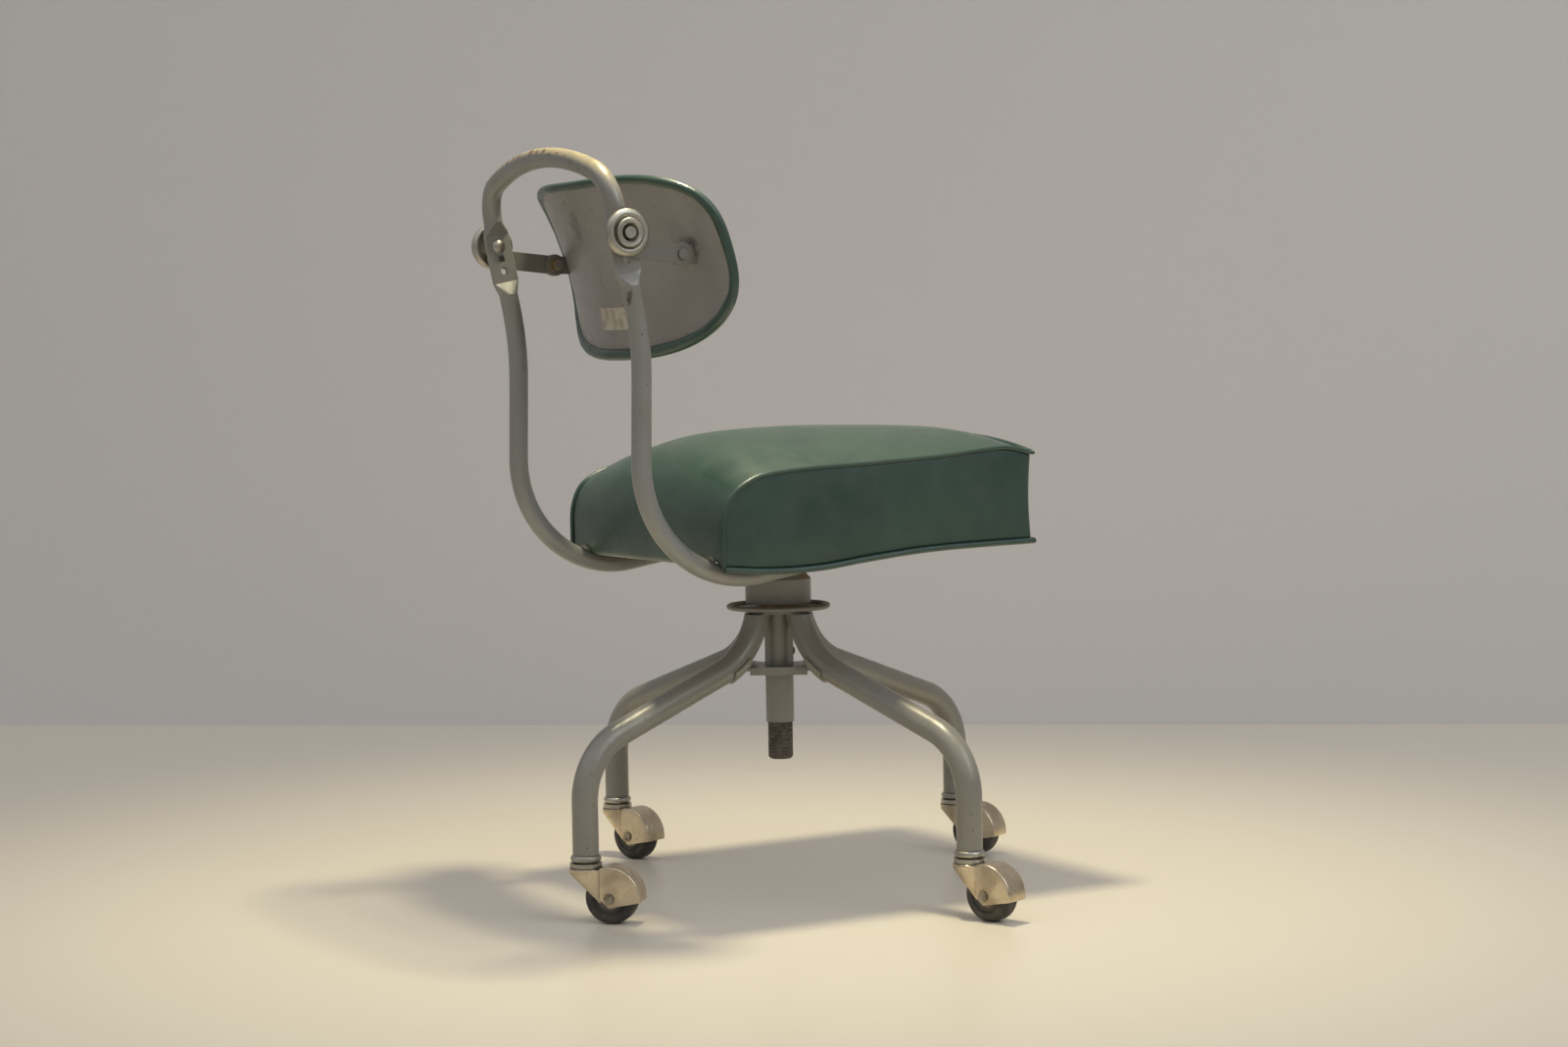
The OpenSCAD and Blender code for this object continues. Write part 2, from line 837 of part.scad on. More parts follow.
module along_x(x, r, h, n = 64) {
    translate([x, 0, 0]) rotate([0, 90, 0]) cylinder(r = r, h = h, $fn = n);
}

knob_h = 17;

module clamp_bolt(s) {
    inside = -flat_t / 2;
    color(NICKEL)
        at_bolt(s) {
            rotate([-lean_back, 0, 0])
                translate([inside - 0.5, -square_w / 2, -square_w / 2])
                    cube([flat_t + 0.5, square_w, square_w]);
            along_x(flat_t / 2 - TINY, bolt_r, knob_in + knob_h - 2 - flat_t / 2);
            intersection() {
                along_x(inside - 6, 6.8, 6);
                translate([inside + 5.6, 0, 0]) sphere(r = 8.8);
            }
        }
}

module knob(s) {
    rim = 4.6;
    r = knob_d / 2;
    color(NICKEL)
        at_bolt(s)
            translate([knob_in, 0, 0])
                rotate([0, 90, 0])
                    rotate_extrude($fn = 96)
                        difference() {
                            union() {
                                square([12, 5]);
                                translate([0, 5]) square([r - rim, 6]);
                                translate([r - rim, 9]) circle(r = rim);
                                translate([0, 11]) square([13.5, 4.5]);
                                translate([12, 14.5]) circle(r = 1.9);
                            }
                            translate([-1, -1]) square([1 + bolt_r + run, 30]);
                            polygon([[5.5, 10], [10.5, 18], [5.5, 18]]);
                        }
}

module back_arm(s) {
    fillet = 6;
    half = arm_w / 2;
    color(PAINT)
        at_bolt(s)
            rotate([arm_dip, 0, 0])
                translate([arm_in, 0, 0])
                    rotate([90, 0, 90])
                        linear_extrude(height = arm_t)
                            difference() {
                                union() {
                                    circle(r = half);
                                    translate([-half, -arm_drop]) square([arm_w, arm_drop]);
                                    translate([0, -arm_drop]) circle(r = half);
                                    translate([-arm_reach, -arm_drop - half])
                                        square([arm_reach, arm_w]);
                                    translate([-arm_reach, -arm_drop]) circle(r = eye_r);
                                    translate([-half - fillet, half - arm_drop])
                                        corner_fillet(fillet);
                                }
                                circle(r = bolt_r + run);
                                translate([-arm_reach, -arm_drop]) circle(r = pivot_r + run);
                            }
}

// Concave corner between the x axis and a wall on its right
module corner_fillet(r) {
    difference() {
        translate([0, -TINY]) square([r + TINY, r]);
        translate([0, r]) circle(r = r);
    }
}

nut_t = 6.5;

module pivot_bolt(s) {
    color(NICKEL)
        at_pivot(s) {
            along_x(nut_out - nut_t - 2.5, pivot_r, arm_out + gap - nut_out + nut_t + 2.5);
            along_x(arm_out + gap, 5, 2.4);
        }
}

module pivot_nut(s) {
    color(BRASS)
        at_pivot(s)
            difference() {
                along_x(nut_out - nut_t, 5.8, nut_t, 6);
                along_x(nut_out - nut_t - 1, pivot_r, nut_t + 2);
            }
}

// ---- backrest ----

// Local frame of the backrest: +Z up along it, +Y to its rear
module in_back() {
    translate([0, back_at[0], back_at[1]]) rotate([-back_tilt, 0, 0]) children();
}

// Curved slab from depth t0 to depth t1 in front of the rear surface
module saddle(t0, t1) {
    reach = back_height + 12;
    spread = 34;
    translate([0, -back_curve, 0])
        rotate([0, 0, 90 - spread])
            rotate_extrude(angle = 2 * spread, $fn = 128)
                intersection() {
                    translate([back_curve + back_arch, 0])
                        difference() {
                            circle(r = back_arch + t1, $fn = 256);
                            circle(r = back_arch + t0, $fn = 256);
                        }
                    translate([back_curve - 60, -reach]) square([120, 2 * reach]);
                }
}

function power(v, p) = sign(v) * pow(abs(v), 2 / p);

// Rounded outline of the backrest, inset on all sides
module back_outline(inset) {
    steps = 72;
    translate([0, 80, 0])
        rotate([90, 0, 0])
            linear_extrude(height = 240)
                polygon([for (i = [0:steps - 1])
                    [(back_half - inset) * power(cos(360 * i / steps), back_power),
                        (back_height - inset) * power(sin(360 * i / steps), back_power)]]);
}

// Cut for one bracket's ear, in the part's own frame
module ear_block(s, grow) {
    at_pivot(s)
        translate([ear_out - ear_t - grow, -60, -eye_r + 2 - grow])
            cube([ear_t + 2 * grow, 60, 2 * (eye_r - 2) + 2 * grow]);
}

module back_shell() {
    color(SHELL_PAINT)
        difference() {
            in_back() intersection() {
                saddle(0, shell_t);
                back_outline(0);
            }
            ear_block(-1, 0.2);
            ear_block(1, 0.2);
        }
}

flange_t = 1.5;

module flange_area(s, grow) {
    at_pivot(s)
        translate([ear_out - 26 - grow, -60, -eye_r + 2 - grow])
            cube([26 + 2 * grow, 80, 2 * (eye_r - 2) + 2 * grow]);
}

module back_bracket(s) {
    color(PAINT)
        difference() {
            union() {
                at_pivot(s) along_x(ear_out - ear_t, eye_r, ear_t);
                difference() {
                    ear_block(s, 0);
                    in_back() saddle(shell_t + flange_t, 140);
                }
                intersection() {
                    in_back() saddle(shell_t, shell_t + flange_t);
                    flange_area(s, 0);
                }
            }
            at_pivot(s) along_x(ear_out - ear_t - 1, pivot_r, ear_t + 2);
        }
}

module back_cushion() {
    color(VINYL)
        difference() {
            in_back() intersection() {
                saddle(shell_t, shell_t + pad_t);
                back_outline(1);
            }
            for (s = [-1, 1]) {
                intersection() {
                    in_back() saddle(shell_t - 1, shell_t + flange_t);
                    flange_area(s, 0.2);
                }
            }
        }
}

module rating_label() {
    label = [68, 22];
    drop = 50;
    color("gray")
        in_back() intersection() {
            saddle(-0.5, 0);
            translate([-label[0] / 2, -40, -drop - label[1] / 2]) cube([label[0], 80, label[1]]);
        }
}

leg(1);  // leg_1
leg(2);  // leg_2
leg(3);  // leg_3
leg(4);  // leg_4
ferrule(1);  // ferrule_1
ferrule(2);  // ferrule_2
ferrule(3);  // ferrule_3
ferrule(4);  // ferrule_4
caster_stem(1);  // caster_stem_1
caster_stem(2);  // caster_stem_2
caster_stem(3);  // caster_stem_3
caster_stem(4);  // caster_stem_4
caster_hood(1);  // caster_hood_1
caster_hood(2);  // caster_hood_2
caster_hood(3);  // caster_hood_3
caster_hood(4);  // caster_hood_4
caster_axle(1);  // caster_axle_1
caster_axle(2);  // caster_axle_2
caster_axle(3);  // caster_axle_3
caster_axle(4);  // caster_axle_4
wheel_hub(1);  // wheel_hub_1
wheel_hub(2);  // wheel_hub_2
wheel_hub(3);  // wheel_hub_3
wheel_hub(4);  // wheel_hub_4
tyre(1);  // tyre_1
tyre(2);  // tyre_2
tyre(3);  // tyre_3
tyre(4);  // tyre_4
column_sleeve();
hub_plate();
brace_plate();
guide_screw();
handwheel();
lift_nut();
spindle();
lower_race();
ball_cage();
swivel_housing();
swivel_nut();
cross_plate();
pan_rest();
seat_frame();
seat_pan();
seat_cushion();
clamp_bolt(1);  // clamp_bolt_left
clamp_bolt(-1);  // clamp_bolt_right
knob(1);  // knob_left
knob(-1);  // knob_right
back_arm(1);  // back_arm_left
back_arm(-1);  // back_arm_right
pivot_bolt(1);  // pivot_bolt_left
pivot_bolt(-1);  // pivot_bolt_right
pivot_nut(1);  // pivot_nut_left
pivot_nut(-1);  // pivot_nut_right
back_bracket(1);  // back_bracket_left
back_bracket(-1);  // back_bracket_right
back_shell();
back_cushion();
rating_label();
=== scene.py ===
import math

import bpy
from mathutils import Matrix, Vector


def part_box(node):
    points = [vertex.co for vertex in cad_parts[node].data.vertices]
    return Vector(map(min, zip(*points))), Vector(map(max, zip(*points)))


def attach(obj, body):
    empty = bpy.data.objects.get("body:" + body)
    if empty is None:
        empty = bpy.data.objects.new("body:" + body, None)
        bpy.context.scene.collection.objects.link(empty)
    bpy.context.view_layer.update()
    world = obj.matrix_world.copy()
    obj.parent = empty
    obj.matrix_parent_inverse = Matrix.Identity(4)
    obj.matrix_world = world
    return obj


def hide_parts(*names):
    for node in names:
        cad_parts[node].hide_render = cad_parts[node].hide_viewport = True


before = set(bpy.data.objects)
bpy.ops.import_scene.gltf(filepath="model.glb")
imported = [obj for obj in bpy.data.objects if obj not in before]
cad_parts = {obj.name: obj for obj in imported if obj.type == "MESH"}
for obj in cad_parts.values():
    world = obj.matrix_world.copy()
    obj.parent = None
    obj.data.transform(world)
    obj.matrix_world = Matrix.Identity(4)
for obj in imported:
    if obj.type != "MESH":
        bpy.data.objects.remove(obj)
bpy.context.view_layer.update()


# ---- Studio ----
# A cream floor in front of a pale wall, one warm soft lamp overhead and a dim
# even fill. The wall is one-sided, so a camera behind it sees through.
def clear_selection():
    if bpy.context.mode != "OBJECT":
        bpy.ops.object.mode_set(mode="OBJECT")
    bpy.ops.object.select_all(action="DESELECT")


def start_material(name):
    material = bpy.data.materials.new(name)
    material.use_nodes = True
    nodes = material.node_tree.nodes
    return material, nodes, material.node_tree.links, nodes["Principled BSDF"]


CAMERA_AT = Vector((-2.4466, 1.4695, 0.5288))
CAMERA_ALONG = Vector((0.8547, -0.5163, -0.0552))
CAMERA_ROLL = math.radians(-0.97)
bpy.ops.object.camera_add(location=CAMERA_AT)
camera = bpy.context.object
camera.name = "studio_camera"
camera.rotation_mode = "QUATERNION"
camera.rotation_quaternion = (
    CAMERA_ALONG.to_track_quat("-Z", "Y") @ Matrix.Rotation(CAMERA_ROLL, 4, "Z").to_quaternion()
)
camera.data.sensor_width = 36
camera.data.lens = 64.37
bpy.context.scene.camera = camera
bpy.context.scene.view_settings.view_transform = "Standard"

clear_selection()
bpy.ops.mesh.primitive_plane_add(size=16, location=(0, 0, 0))
floor = bpy.context.object
floor.name = "floor"
floor_cream, nodes, links, shader = start_material("floor_cream")
shader.inputs["Base Color"].default_value = (0.76, 0.70, 0.58, 1)
shader.inputs["Roughness"].default_value = 0.32
floor.data.materials.append(floor_cream)

WALL_AWAY = 1.29
WALL_TURN = math.radians(-7.2)
straight_on = Vector((CAMERA_ALONG.x, CAMERA_ALONG.y, 0)).normalized()
wall_facing = Matrix.Rotation(WALL_TURN, 3, "Z") @ straight_on
bpy.ops.mesh.primitive_plane_add(size=16, location=straight_on * WALL_AWAY + Vector((0, 0, 8)))
wall = bpy.context.object
wall.name = "wall"
wall.rotation_mode = "QUATERNION"
wall.rotation_quaternion = (-wall_facing).to_track_quat("Z", "Y")
wall_grey, nodes, links, shader = start_material("wall_grey")
shader.inputs["Base Color"].default_value = (0.71, 0.69, 0.675, 1)
shader.inputs["Roughness"].default_value = 0.8
facing = nodes.new("ShaderNodeNewGeometry")
clear = nodes.new("ShaderNodeBsdfTransparent")
either = nodes.new("ShaderNodeMixShader")
links.new(facing.outputs["Backfacing"], either.inputs[0])
links.new(shader.outputs[0], either.inputs[1])
links.new(clear.outputs[0], either.inputs[2])
links.new(either.outputs[0], nodes["Material Output"].inputs["Surface"])
wall.data.materials.append(wall_grey)

bpy.ops.object.light_add(type="SPOT", location=(-0.04, 0.03, 1.62))
lamp = bpy.context.object
lamp.name = "overhead_lamp"
lamp.data.spot_size = math.radians(84)
lamp.data.spot_blend = 1.0
lamp.data.shadow_soft_size = 0.075
lamp.data.energy = 77
lamp.data.color = (1.0, 0.90, 0.62)

bpy.ops.object.light_add(type="AREA", location=(-2.6, -0.9, 2.3))
fill = bpy.context.object
fill.name = "side_fill"
fill.rotation_mode = "QUATERNION"
fill.rotation_quaternion = (Vector((0, 0, 0.4)) - fill.location).to_track_quat("-Z", "Y")
fill.data.size = 1.6
fill.data.energy = 16
fill.data.color = (0.94, 0.97, 1.0)

room = bpy.data.worlds.new("room")
bpy.context.scene.world = room
room.use_nodes = True
nodes, links = room.node_tree.nodes, room.node_tree.links
height = nodes.new("ShaderNodeSeparateXYZ")
links.new(nodes.new("ShaderNodeTexCoord").outputs["Generated"], height.inputs[0])
shade = nodes.new("ShaderNodeValToRGB")
shade.color_ramp.elements[0].color = (0.16, 0.16, 0.165, 1)
shade.color_ramp.elements[0].position = 0.02
shade.color_ramp.elements[1].color = (0.68, 0.68, 0.71, 1)
shade.color_ramp.elements[1].position = 0.75
links.new(height.outputs["Z"], shade.inputs["Fac"])
links.new(shade.outputs["Color"], nodes["Background"].inputs["Color"])
nodes["Background"].inputs["Strength"].default_value = 1.1


# ---- Base: legs, hub and brace ----
# Bent steel tube and pressed plate, welded and sprayed silver-grey. The enamel
# is rubbed on its edges, stained in patches and flecked, which one node group
# gives for this and for every other painted or plated piece.
def start_group(name, inputs, outputs):
    group = bpy.data.node_groups.new(name, "ShaderNodeTree")
    for label, kind, value in inputs:
        socket = group.interface.new_socket(name=label, in_out="INPUT", socket_type=kind)
        socket.default_value = value
    for label in outputs:
        group.interface.new_socket(name=label, in_out="OUTPUT", socket_type="NodeSocketFloat")
    return group, group.nodes.new("NodeGroupInput"), group.nodes.new("NodeGroupOutput")


def add_noise(nodes, links, where, scale, detail=4.0, rough=0.55):
    noise = nodes.new("ShaderNodeTexNoise")
    noise.inputs["Scale"].default_value = scale
    noise.inputs["Detail"].default_value = detail
    noise.inputs["Roughness"].default_value = rough
    links.new(where, noise.inputs["Vector"])
    return noise.outputs["Fac"]


def add_ramp(nodes, links, value, low, high, out_low=0.0, out_high=1.0):
    ramp = nodes.new("ShaderNodeMapRange")
    ramp.interpolation_type = "SMOOTHSTEP"
    for label, number in (
        ("From Min", low), ("From Max", high), ("To Min", out_low), ("To Max", out_high)
    ):
        ramp.inputs[label].default_value = number
    links.new(value, ramp.inputs["Value"])
    return ramp.outputs["Result"]


def add_math(nodes, links, operation, first, second):
    step = nodes.new("ShaderNodeMath")
    step.operation = operation
    for socket, value in zip(step.inputs, (first, second)):
        if isinstance(value, (int, float)):
            socket.default_value = value
        else:
            links.new(value, socket)
    return step.outputs[0]


def add_mix(nodes, links, share, first, second):
    mix = nodes.new("ShaderNodeMix")
    mix.data_type = "RGBA"
    for socket, value in ((mix.inputs["Factor"], share), (mix.inputs["A"], first), (mix.inputs["B"], second)):
        if isinstance(value, (int, float)):
            socket.default_value = value
        elif isinstance(value, tuple):
            socket.default_value = (*value, 1)
        else:
            links.new(value, socket)
    return mix.outputs["Result"]


wear, source, sink = start_group(
    "wear",
    [("Patch Scale", "NodeSocketFloat", 14.0), ("Speck Scale", "NodeSocketFloat", 260.0),
     ("Edge Radius", "NodeSocketFloat", 0.0012)],
    ["Edge", "Patches", "Specks", "Unevenness"],
)
where = wear.nodes.new("ShaderNodeTexCoord").outputs["Object"]
rounded = wear.nodes.new("ShaderNodeBevel")
rounded.samples = 4
wear.links.new(source.outputs["Edge Radius"], rounded.inputs["Radius"])
flat = wear.nodes.new("ShaderNodeNewGeometry")
turned = wear.nodes.new("ShaderNodeVectorMath")
turned.operation = "DOT_PRODUCT"
wear.links.new(rounded.outputs["Normal"], turned.inputs[0])
wear.links.new(flat.outputs["Normal"], turned.inputs[1])
edge = add_ramp(wear.nodes, wear.links, turned.outputs["Value"], 0.985, 0.86)
chips = add_ramp(wear.nodes, wear.links, add_noise(wear.nodes, wear.links, where, 170.0), 0.42, 0.62)
wear.links.new(add_math(wear.nodes, wear.links, "MULTIPLY", edge, chips), sink.inputs["Edge"])
patch_noise = wear.nodes.new("ShaderNodeTexNoise")
patch_noise.inputs["Detail"].default_value = 5.0
wear.links.new(where, patch_noise.inputs["Vector"])
wear.links.new(source.outputs["Patch Scale"], patch_noise.inputs["Scale"])
patches = add_ramp(wear.nodes, wear.links, patch_noise.outputs["Fac"], 0.42, 0.68)
wear.links.new(patches, sink.inputs["Patches"])
speck_noise = wear.nodes.new("ShaderNodeTexNoise")
speck_noise.inputs["Detail"].default_value = 2.0
wear.links.new(where, speck_noise.inputs["Vector"])
wear.links.new(source.outputs["Speck Scale"], speck_noise.inputs["Scale"])
specks = add_ramp(wear.nodes, wear.links, speck_noise.outputs["Fac"], 0.70, 0.77)
wear.links.new(specks, sink.inputs["Specks"])
wear.links.new(add_noise(wear.nodes, wear.links, where, 95.0, 3.0), sink.inputs["Unevenness"])


def add_wear(nodes, patch_scale, speck_scale, edge_radius):
    node = nodes.new("ShaderNodeGroup")
    node.node_tree = wear
    node.inputs["Patch Scale"].default_value = patch_scale
    node.inputs["Speck Scale"].default_value = speck_scale
    node.inputs["Edge Radius"].default_value = edge_radius
    return node.outputs


def add_bump(nodes, links, shader, height, strength, distance):
    bump = nodes.new("ShaderNodeBump")
    bump.inputs["Strength"].default_value = strength
    bump.inputs["Distance"].default_value = distance
    links.new(height, bump.inputs["Height"])
    links.new(bump.outputs["Normal"], shader.inputs["Normal"])


# A spot is a ragged mark round one point of a piece.
spot, source, sink = start_group(
    "spot",
    [("Centre", "NodeSocketVector", (0, 0, 0)), ("Radius", "NodeSocketFloat", 0.01)],
    ["Mask"],
)
where = spot.nodes.new("ShaderNodeTexCoord").outputs["Object"]
away = spot.nodes.new("ShaderNodeVectorMath")
away.operation = "DISTANCE"
spot.links.new(where, away.inputs[0])
spot.links.new(source.outputs["Centre"], away.inputs[1])
share = add_math(spot.nodes, spot.links, "DIVIDE", away.outputs["Value"], source.outputs["Radius"])
frayed = add_noise(spot.nodes, spot.links, where, 160.0)
frayed = add_ramp(spot.nodes, spot.links, frayed, 0.2, 0.8, -0.5, 0.5)
share = add_math(spot.nodes, spot.links, "ADD", share, frayed)
spot.links.new(add_ramp(spot.nodes, spot.links, share, 1.05, 0.55), sink.inputs["Mask"])


def add_spot(nodes, centre, radius):
    node = nodes.new("ShaderNodeGroup")
    node.node_tree = spot
    node.inputs["Centre"].default_value = centre
    node.inputs["Radius"].default_value = radius
    return node.outputs["Mask"]


def finish_nodes(names, material):
    for name in names:
        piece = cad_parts[name]
        if not piece.material_slots:
            piece.data.materials.append(material)
        for held in piece.material_slots:
            held.material = material


RUST = (0.075, 0.045, 0.030)
BARE_EDGE = (0.20, 0.17, 0.14)


def make_enamel(name, colour, stained, rough, specks=0.75, spots=()):
    material, nodes, links, shader = start_material(name)
    masks = add_wear(nodes, 9.0, 240.0, 0.0015)
    cloudy = add_math(nodes, links, "MULTIPLY", masks["Patches"], 0.45)
    tint = add_mix(nodes, links, cloudy, colour, stained)
    marks = add_math(nodes, links, "MULTIPLY", masks["Specks"], specks)
    for centre, radius, strength in spots:
        mark = add_math(nodes, links, "MULTIPLY", add_spot(nodes, centre, radius), strength)
        marks = add_math(nodes, links, "MAXIMUM", marks, mark)
    tint = add_mix(nodes, links, marks, tint, RUST)
    tint = add_mix(nodes, links, masks["Edge"], tint, BARE_EDGE)
    links.new(tint, shader.inputs["Base Color"])
    gloss = add_ramp(nodes, links, masks["Unevenness"], 0.3, 0.7, rough - 0.06, rough + 0.08)
    links.new(add_math(nodes, links, "MAXIMUM", gloss, add_math(nodes, links, "MULTIPLY", marks, 0.75)),
              shader.inputs["Roughness"])
    shader.inputs["Metallic"].default_value = 0.25
    add_bump(nodes, links, shader, masks["Unevenness"], 0.25, 0.0006)
    return material


leg_enamel = make_enamel("leg_enamel", (0.27, 0.265, 0.235), (0.22, 0.20, 0.155), 0.36)
finish_nodes(
    ["leg_1", "leg_2", "leg_3", "leg_4", "hub_plate", "brace_plate", "column_sleeve", "swivel_housing",
     "cross_plate", "pan_rest"],
    leg_enamel,
)

# ---- Seat frame, arms and brackets ----
# One tube bent from under the seat up into an arch, with two pressed-flat
# stretches for the clamp bolts. The same enamel, rusty under the near knob.
frame_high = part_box("seat_frame")[1]
ARCH_LEAN = math.radians(11.8)
ARCH_LINE_STEPS = 18
ARCH_LINE_REACH = 0.1275
ARCH_LINE_SHIFT = 0.010
ARCH_LINE_BELOW = 0.0056
ARCH_LINE_BEHIND = 0.0047
ARCH_LINE_FALL = 0.0268
ARCH_LINE_TURN = 0.0131
ARCH_LINE_WIDTH = 0.0056
WORN_AND_LIT_FROM = frame_high.z - 0.0545
WORN_AND_LIT_UP_TO = frame_high.z - 0.0225


def arch_line_place(k):
    """A point of the dark brown line that runs along the arch, just under its top, which is worn and carries
    a painted highlight.
    """
    share = 0.8 - 1.8 * k / (ARCH_LINE_STEPS - 1)
    fall = ARCH_LINE_FALL * share ** 2 + ARCH_LINE_TURN * share ** 8
    y = frame_high.y - ARCH_LINE_BEHIND - math.tan(ARCH_LEAN) * fall
    return ARCH_LINE_SHIFT + ARCH_LINE_REACH * share, y, frame_high.z - ARCH_LINE_BELOW - fall


frame_enamel = make_enamel(
    "frame_enamel", (0.29, 0.29, 0.27), (0.24, 0.22, 0.18), 0.34,
    spots=[((-0.141, 0.2415, 0.5937), 0.0075, 0.85), ((-0.139, 0.2400, 0.5990), 0.0050, 0.7)],
)
nodes, links = frame_enamel.node_tree.nodes, frame_enamel.node_tree.links
shader = nodes["Principled BSDF"]
place, faced = nodes.new("ShaderNodeSeparateXYZ"), nodes.new("ShaderNodeSeparateXYZ")
where = nodes.new("ShaderNodeTexCoord").outputs["Object"]
links.new(where, place.inputs[0])
links.new(nodes.new("ShaderNodeNewGeometry").outputs["Normal"], faced.inputs[0])
# Wear and painted highlight: up-facing surfaces near the top of the arch are mixed toward a warm gold, partly
# paint worn through and partly the warm overhead light painted in.
high_up = add_ramp(nodes, links, place.outputs["Z"], WORN_AND_LIT_FROM, WORN_AND_LIT_UP_TO)
on_top = add_ramp(nodes, links, faced.outputs["Z"], 0.15, 0.75)
mottle = add_ramp(nodes, links, add_noise(nodes, links, where, 46.0), 0.28, 0.58, 0.45, 0.95)
worn_and_lit_top = add_math(nodes, links, "MULTIPLY", high_up, on_top)
worn_and_lit_top = add_math(nodes, links, "MULTIPLY", worn_and_lit_top, mottle)
painted = shader.inputs["Base Color"].links[0].from_socket
tint = add_mix(nodes, links, worn_and_lit_top, painted, (0.47, 0.40, 0.25))
# A dark brown line of spots runs along the arch, just under its pale top.
arch_line = 0.0
for k in range(ARCH_LINE_STEPS):
    arch_line = add_math(nodes, links, "MAXIMUM", arch_line, add_spot(nodes, arch_line_place(k), ARCH_LINE_WIDTH))
arch_line = add_math(nodes, links, "MULTIPLY", arch_line, 0.78)
links.new(add_mix(nodes, links, arch_line, tint, (0.115, 0.062, 0.036)), shader.inputs["Base Color"])
finish_nodes(["seat_frame"], frame_enamel)
arm_enamel = make_enamel("arm_enamel", (0.21, 0.20, 0.18), (0.16, 0.14, 0.11), 0.42)
finish_nodes(["back_arm_left", "back_arm_right", "back_bracket_left", "back_bracket_right"], arm_enamel)


# ---- Lift: handwheel, nut, spindle and races ----
# A turned steel spindle dark with old grease, a brass nut, and a pressed steel
# handwheel with a rolled rim worn bright by hands.
def make_metal(
    name, colour, dulled, rough, patch_scale=22.0, edge=(0.6, 0.56, 0.5), edge_radius=0.001, metallic=1.0
):
    material, nodes, links, shader = start_material(name)
    masks = add_wear(nodes, patch_scale, 420.0, edge_radius)
    tint = add_mix(nodes, links, add_math(nodes, links, "MULTIPLY", masks["Patches"], 0.8), colour, dulled)
    flecks = add_math(nodes, links, "MULTIPLY", masks["Specks"], 0.8)
    tint = add_mix(nodes, links, flecks, tint, (0.06, 0.045, 0.035))
    tint = add_mix(nodes, links, add_math(nodes, links, "MULTIPLY", masks["Edge"], 0.7), tint, edge)
    links.new(tint, shader.inputs["Base Color"])
    gloss = add_math(
        nodes, links, "ADD",
        add_ramp(nodes, links, masks["Unevenness"], 0.3, 0.7, rough - 0.05, rough + 0.06),
        add_math(nodes, links, "MULTIPLY", masks["Patches"], 0.16),
    )
    links.new(gloss, shader.inputs["Roughness"])
    shader.inputs["Metallic"].default_value = metallic
    add_bump(nodes, links, shader, masks["Unevenness"], 0.2, 0.0003)
    return material


greased_steel = make_metal("greased_steel", (0.13, 0.115, 0.10), (0.07, 0.055, 0.045), 0.46, metallic=0.85)
wheel_steel = make_metal("wheel_steel", (0.25, 0.24, 0.215), (0.16, 0.145, 0.12), 0.40, metallic=0.7)
brass = make_metal("brass", (0.72, 0.52, 0.24), (0.42, 0.28, 0.12), 0.30)
finish_nodes(["spindle", "lower_race", "guide_screw", "swivel_nut"], greased_steel)
finish_nodes(["handwheel"], wheel_steel)
finish_nodes(["lift_nut", "ball_cage", "pivot_nut_left", "pivot_nut_right"], brass)

# ---- Clamp knobs, bolts and pivots ----
# Nickel-plated turned knobs on carriage bolts, with rivets at the pivots. The plating has yellowed and is
# dull in patches.
nickel = make_metal("nickel", (0.47, 0.45, 0.39), (0.31, 0.29, 0.24), 0.36, 30.0, (0.76, 0.71, 0.56))
finish_nodes(
    ["knob_left", "knob_right", "clamp_bolt_left", "clamp_bolt_right",
     "ferrule_1", "ferrule_2", "ferrule_3", "ferrule_4"],
    nickel,
)
finish_nodes(["pivot_bolt_left", "pivot_bolt_right"], arm_enamel)
rivet_nickel = make_metal("rivet_nickel", (0.36, 0.32, 0.26), (0.17, 0.14, 0.11), 0.36, 120.0)
finish_nodes(["caster_axle_1", "caster_axle_2", "caster_axle_3", "caster_axle_4"], rivet_nickel)
finish_nodes(["caster_stem_1", "caster_stem_2", "caster_stem_3", "caster_stem_4"], nickel)
stem_steel = make_metal("stem_steel", (0.20, 0.18, 0.16), (0.11, 0.09, 0.07), 0.35, metallic=0.9)
finish_nodes(["wheel_hub_1", "wheel_hub_2", "wheel_hub_3", "wheel_hub_4"], stem_steel)

# ---- Caster tyres ----
# Hard black rubber pressed on the hubs, scuffed grey on the tread and brown
# with floor dust on the sides.
rubber, nodes, links, shader = start_material("rubber")
masks = add_wear(nodes, 45.0, 300.0, 0.002)
tint = add_mix(nodes, links, masks["Patches"], (0.030, 0.029, 0.027), (0.075, 0.062, 0.045))
tint = add_mix(nodes, links, masks["Edge"], tint, (0.10, 0.09, 0.075))
links.new(tint, shader.inputs["Base Color"])
links.new(add_ramp(nodes, links, masks["Unevenness"], 0.3, 0.7, 0.42, 0.62), shader.inputs["Roughness"])
add_bump(nodes, links, shader, masks["Unevenness"], 0.35, 0.0004)
finish_nodes(["tyre_1", "tyre_2", "tyre_3", "tyre_4"], rubber)


# ---- Caster hoods ----
# Pressed nickel-plated sheet: a cylinder-backed fender with two flat cheeks,
# creased where it meets the round neck that turns on the stem.
HOOD_HALF = 0.0135
HOOD_RADIUS = 0.0305
HOOD_SHEET = 0.0015
HOOD_CREASE = 0.017
CREASE_FOOT = 0.0244
HOOD_FOOT = 0.0165
CORNER_ROUND = 0.0022
NECK_HALF = 0.0118
NECK_MIDDLE = 0.0368
NECK_TALL = 0.0316
NECK_RADIUS = 0.0160
NECK_RING = 0.0050
NECK_RING_UP = 0.0502
COLLAR_RADIUS = 0.0164
COLLAR_TALL = 0.0042
COLLAR_UP = 0.0511
COLLAR_ROUND = 0.0011
AXLE_BACK = 0.026
AXLE_UP = 0.0254


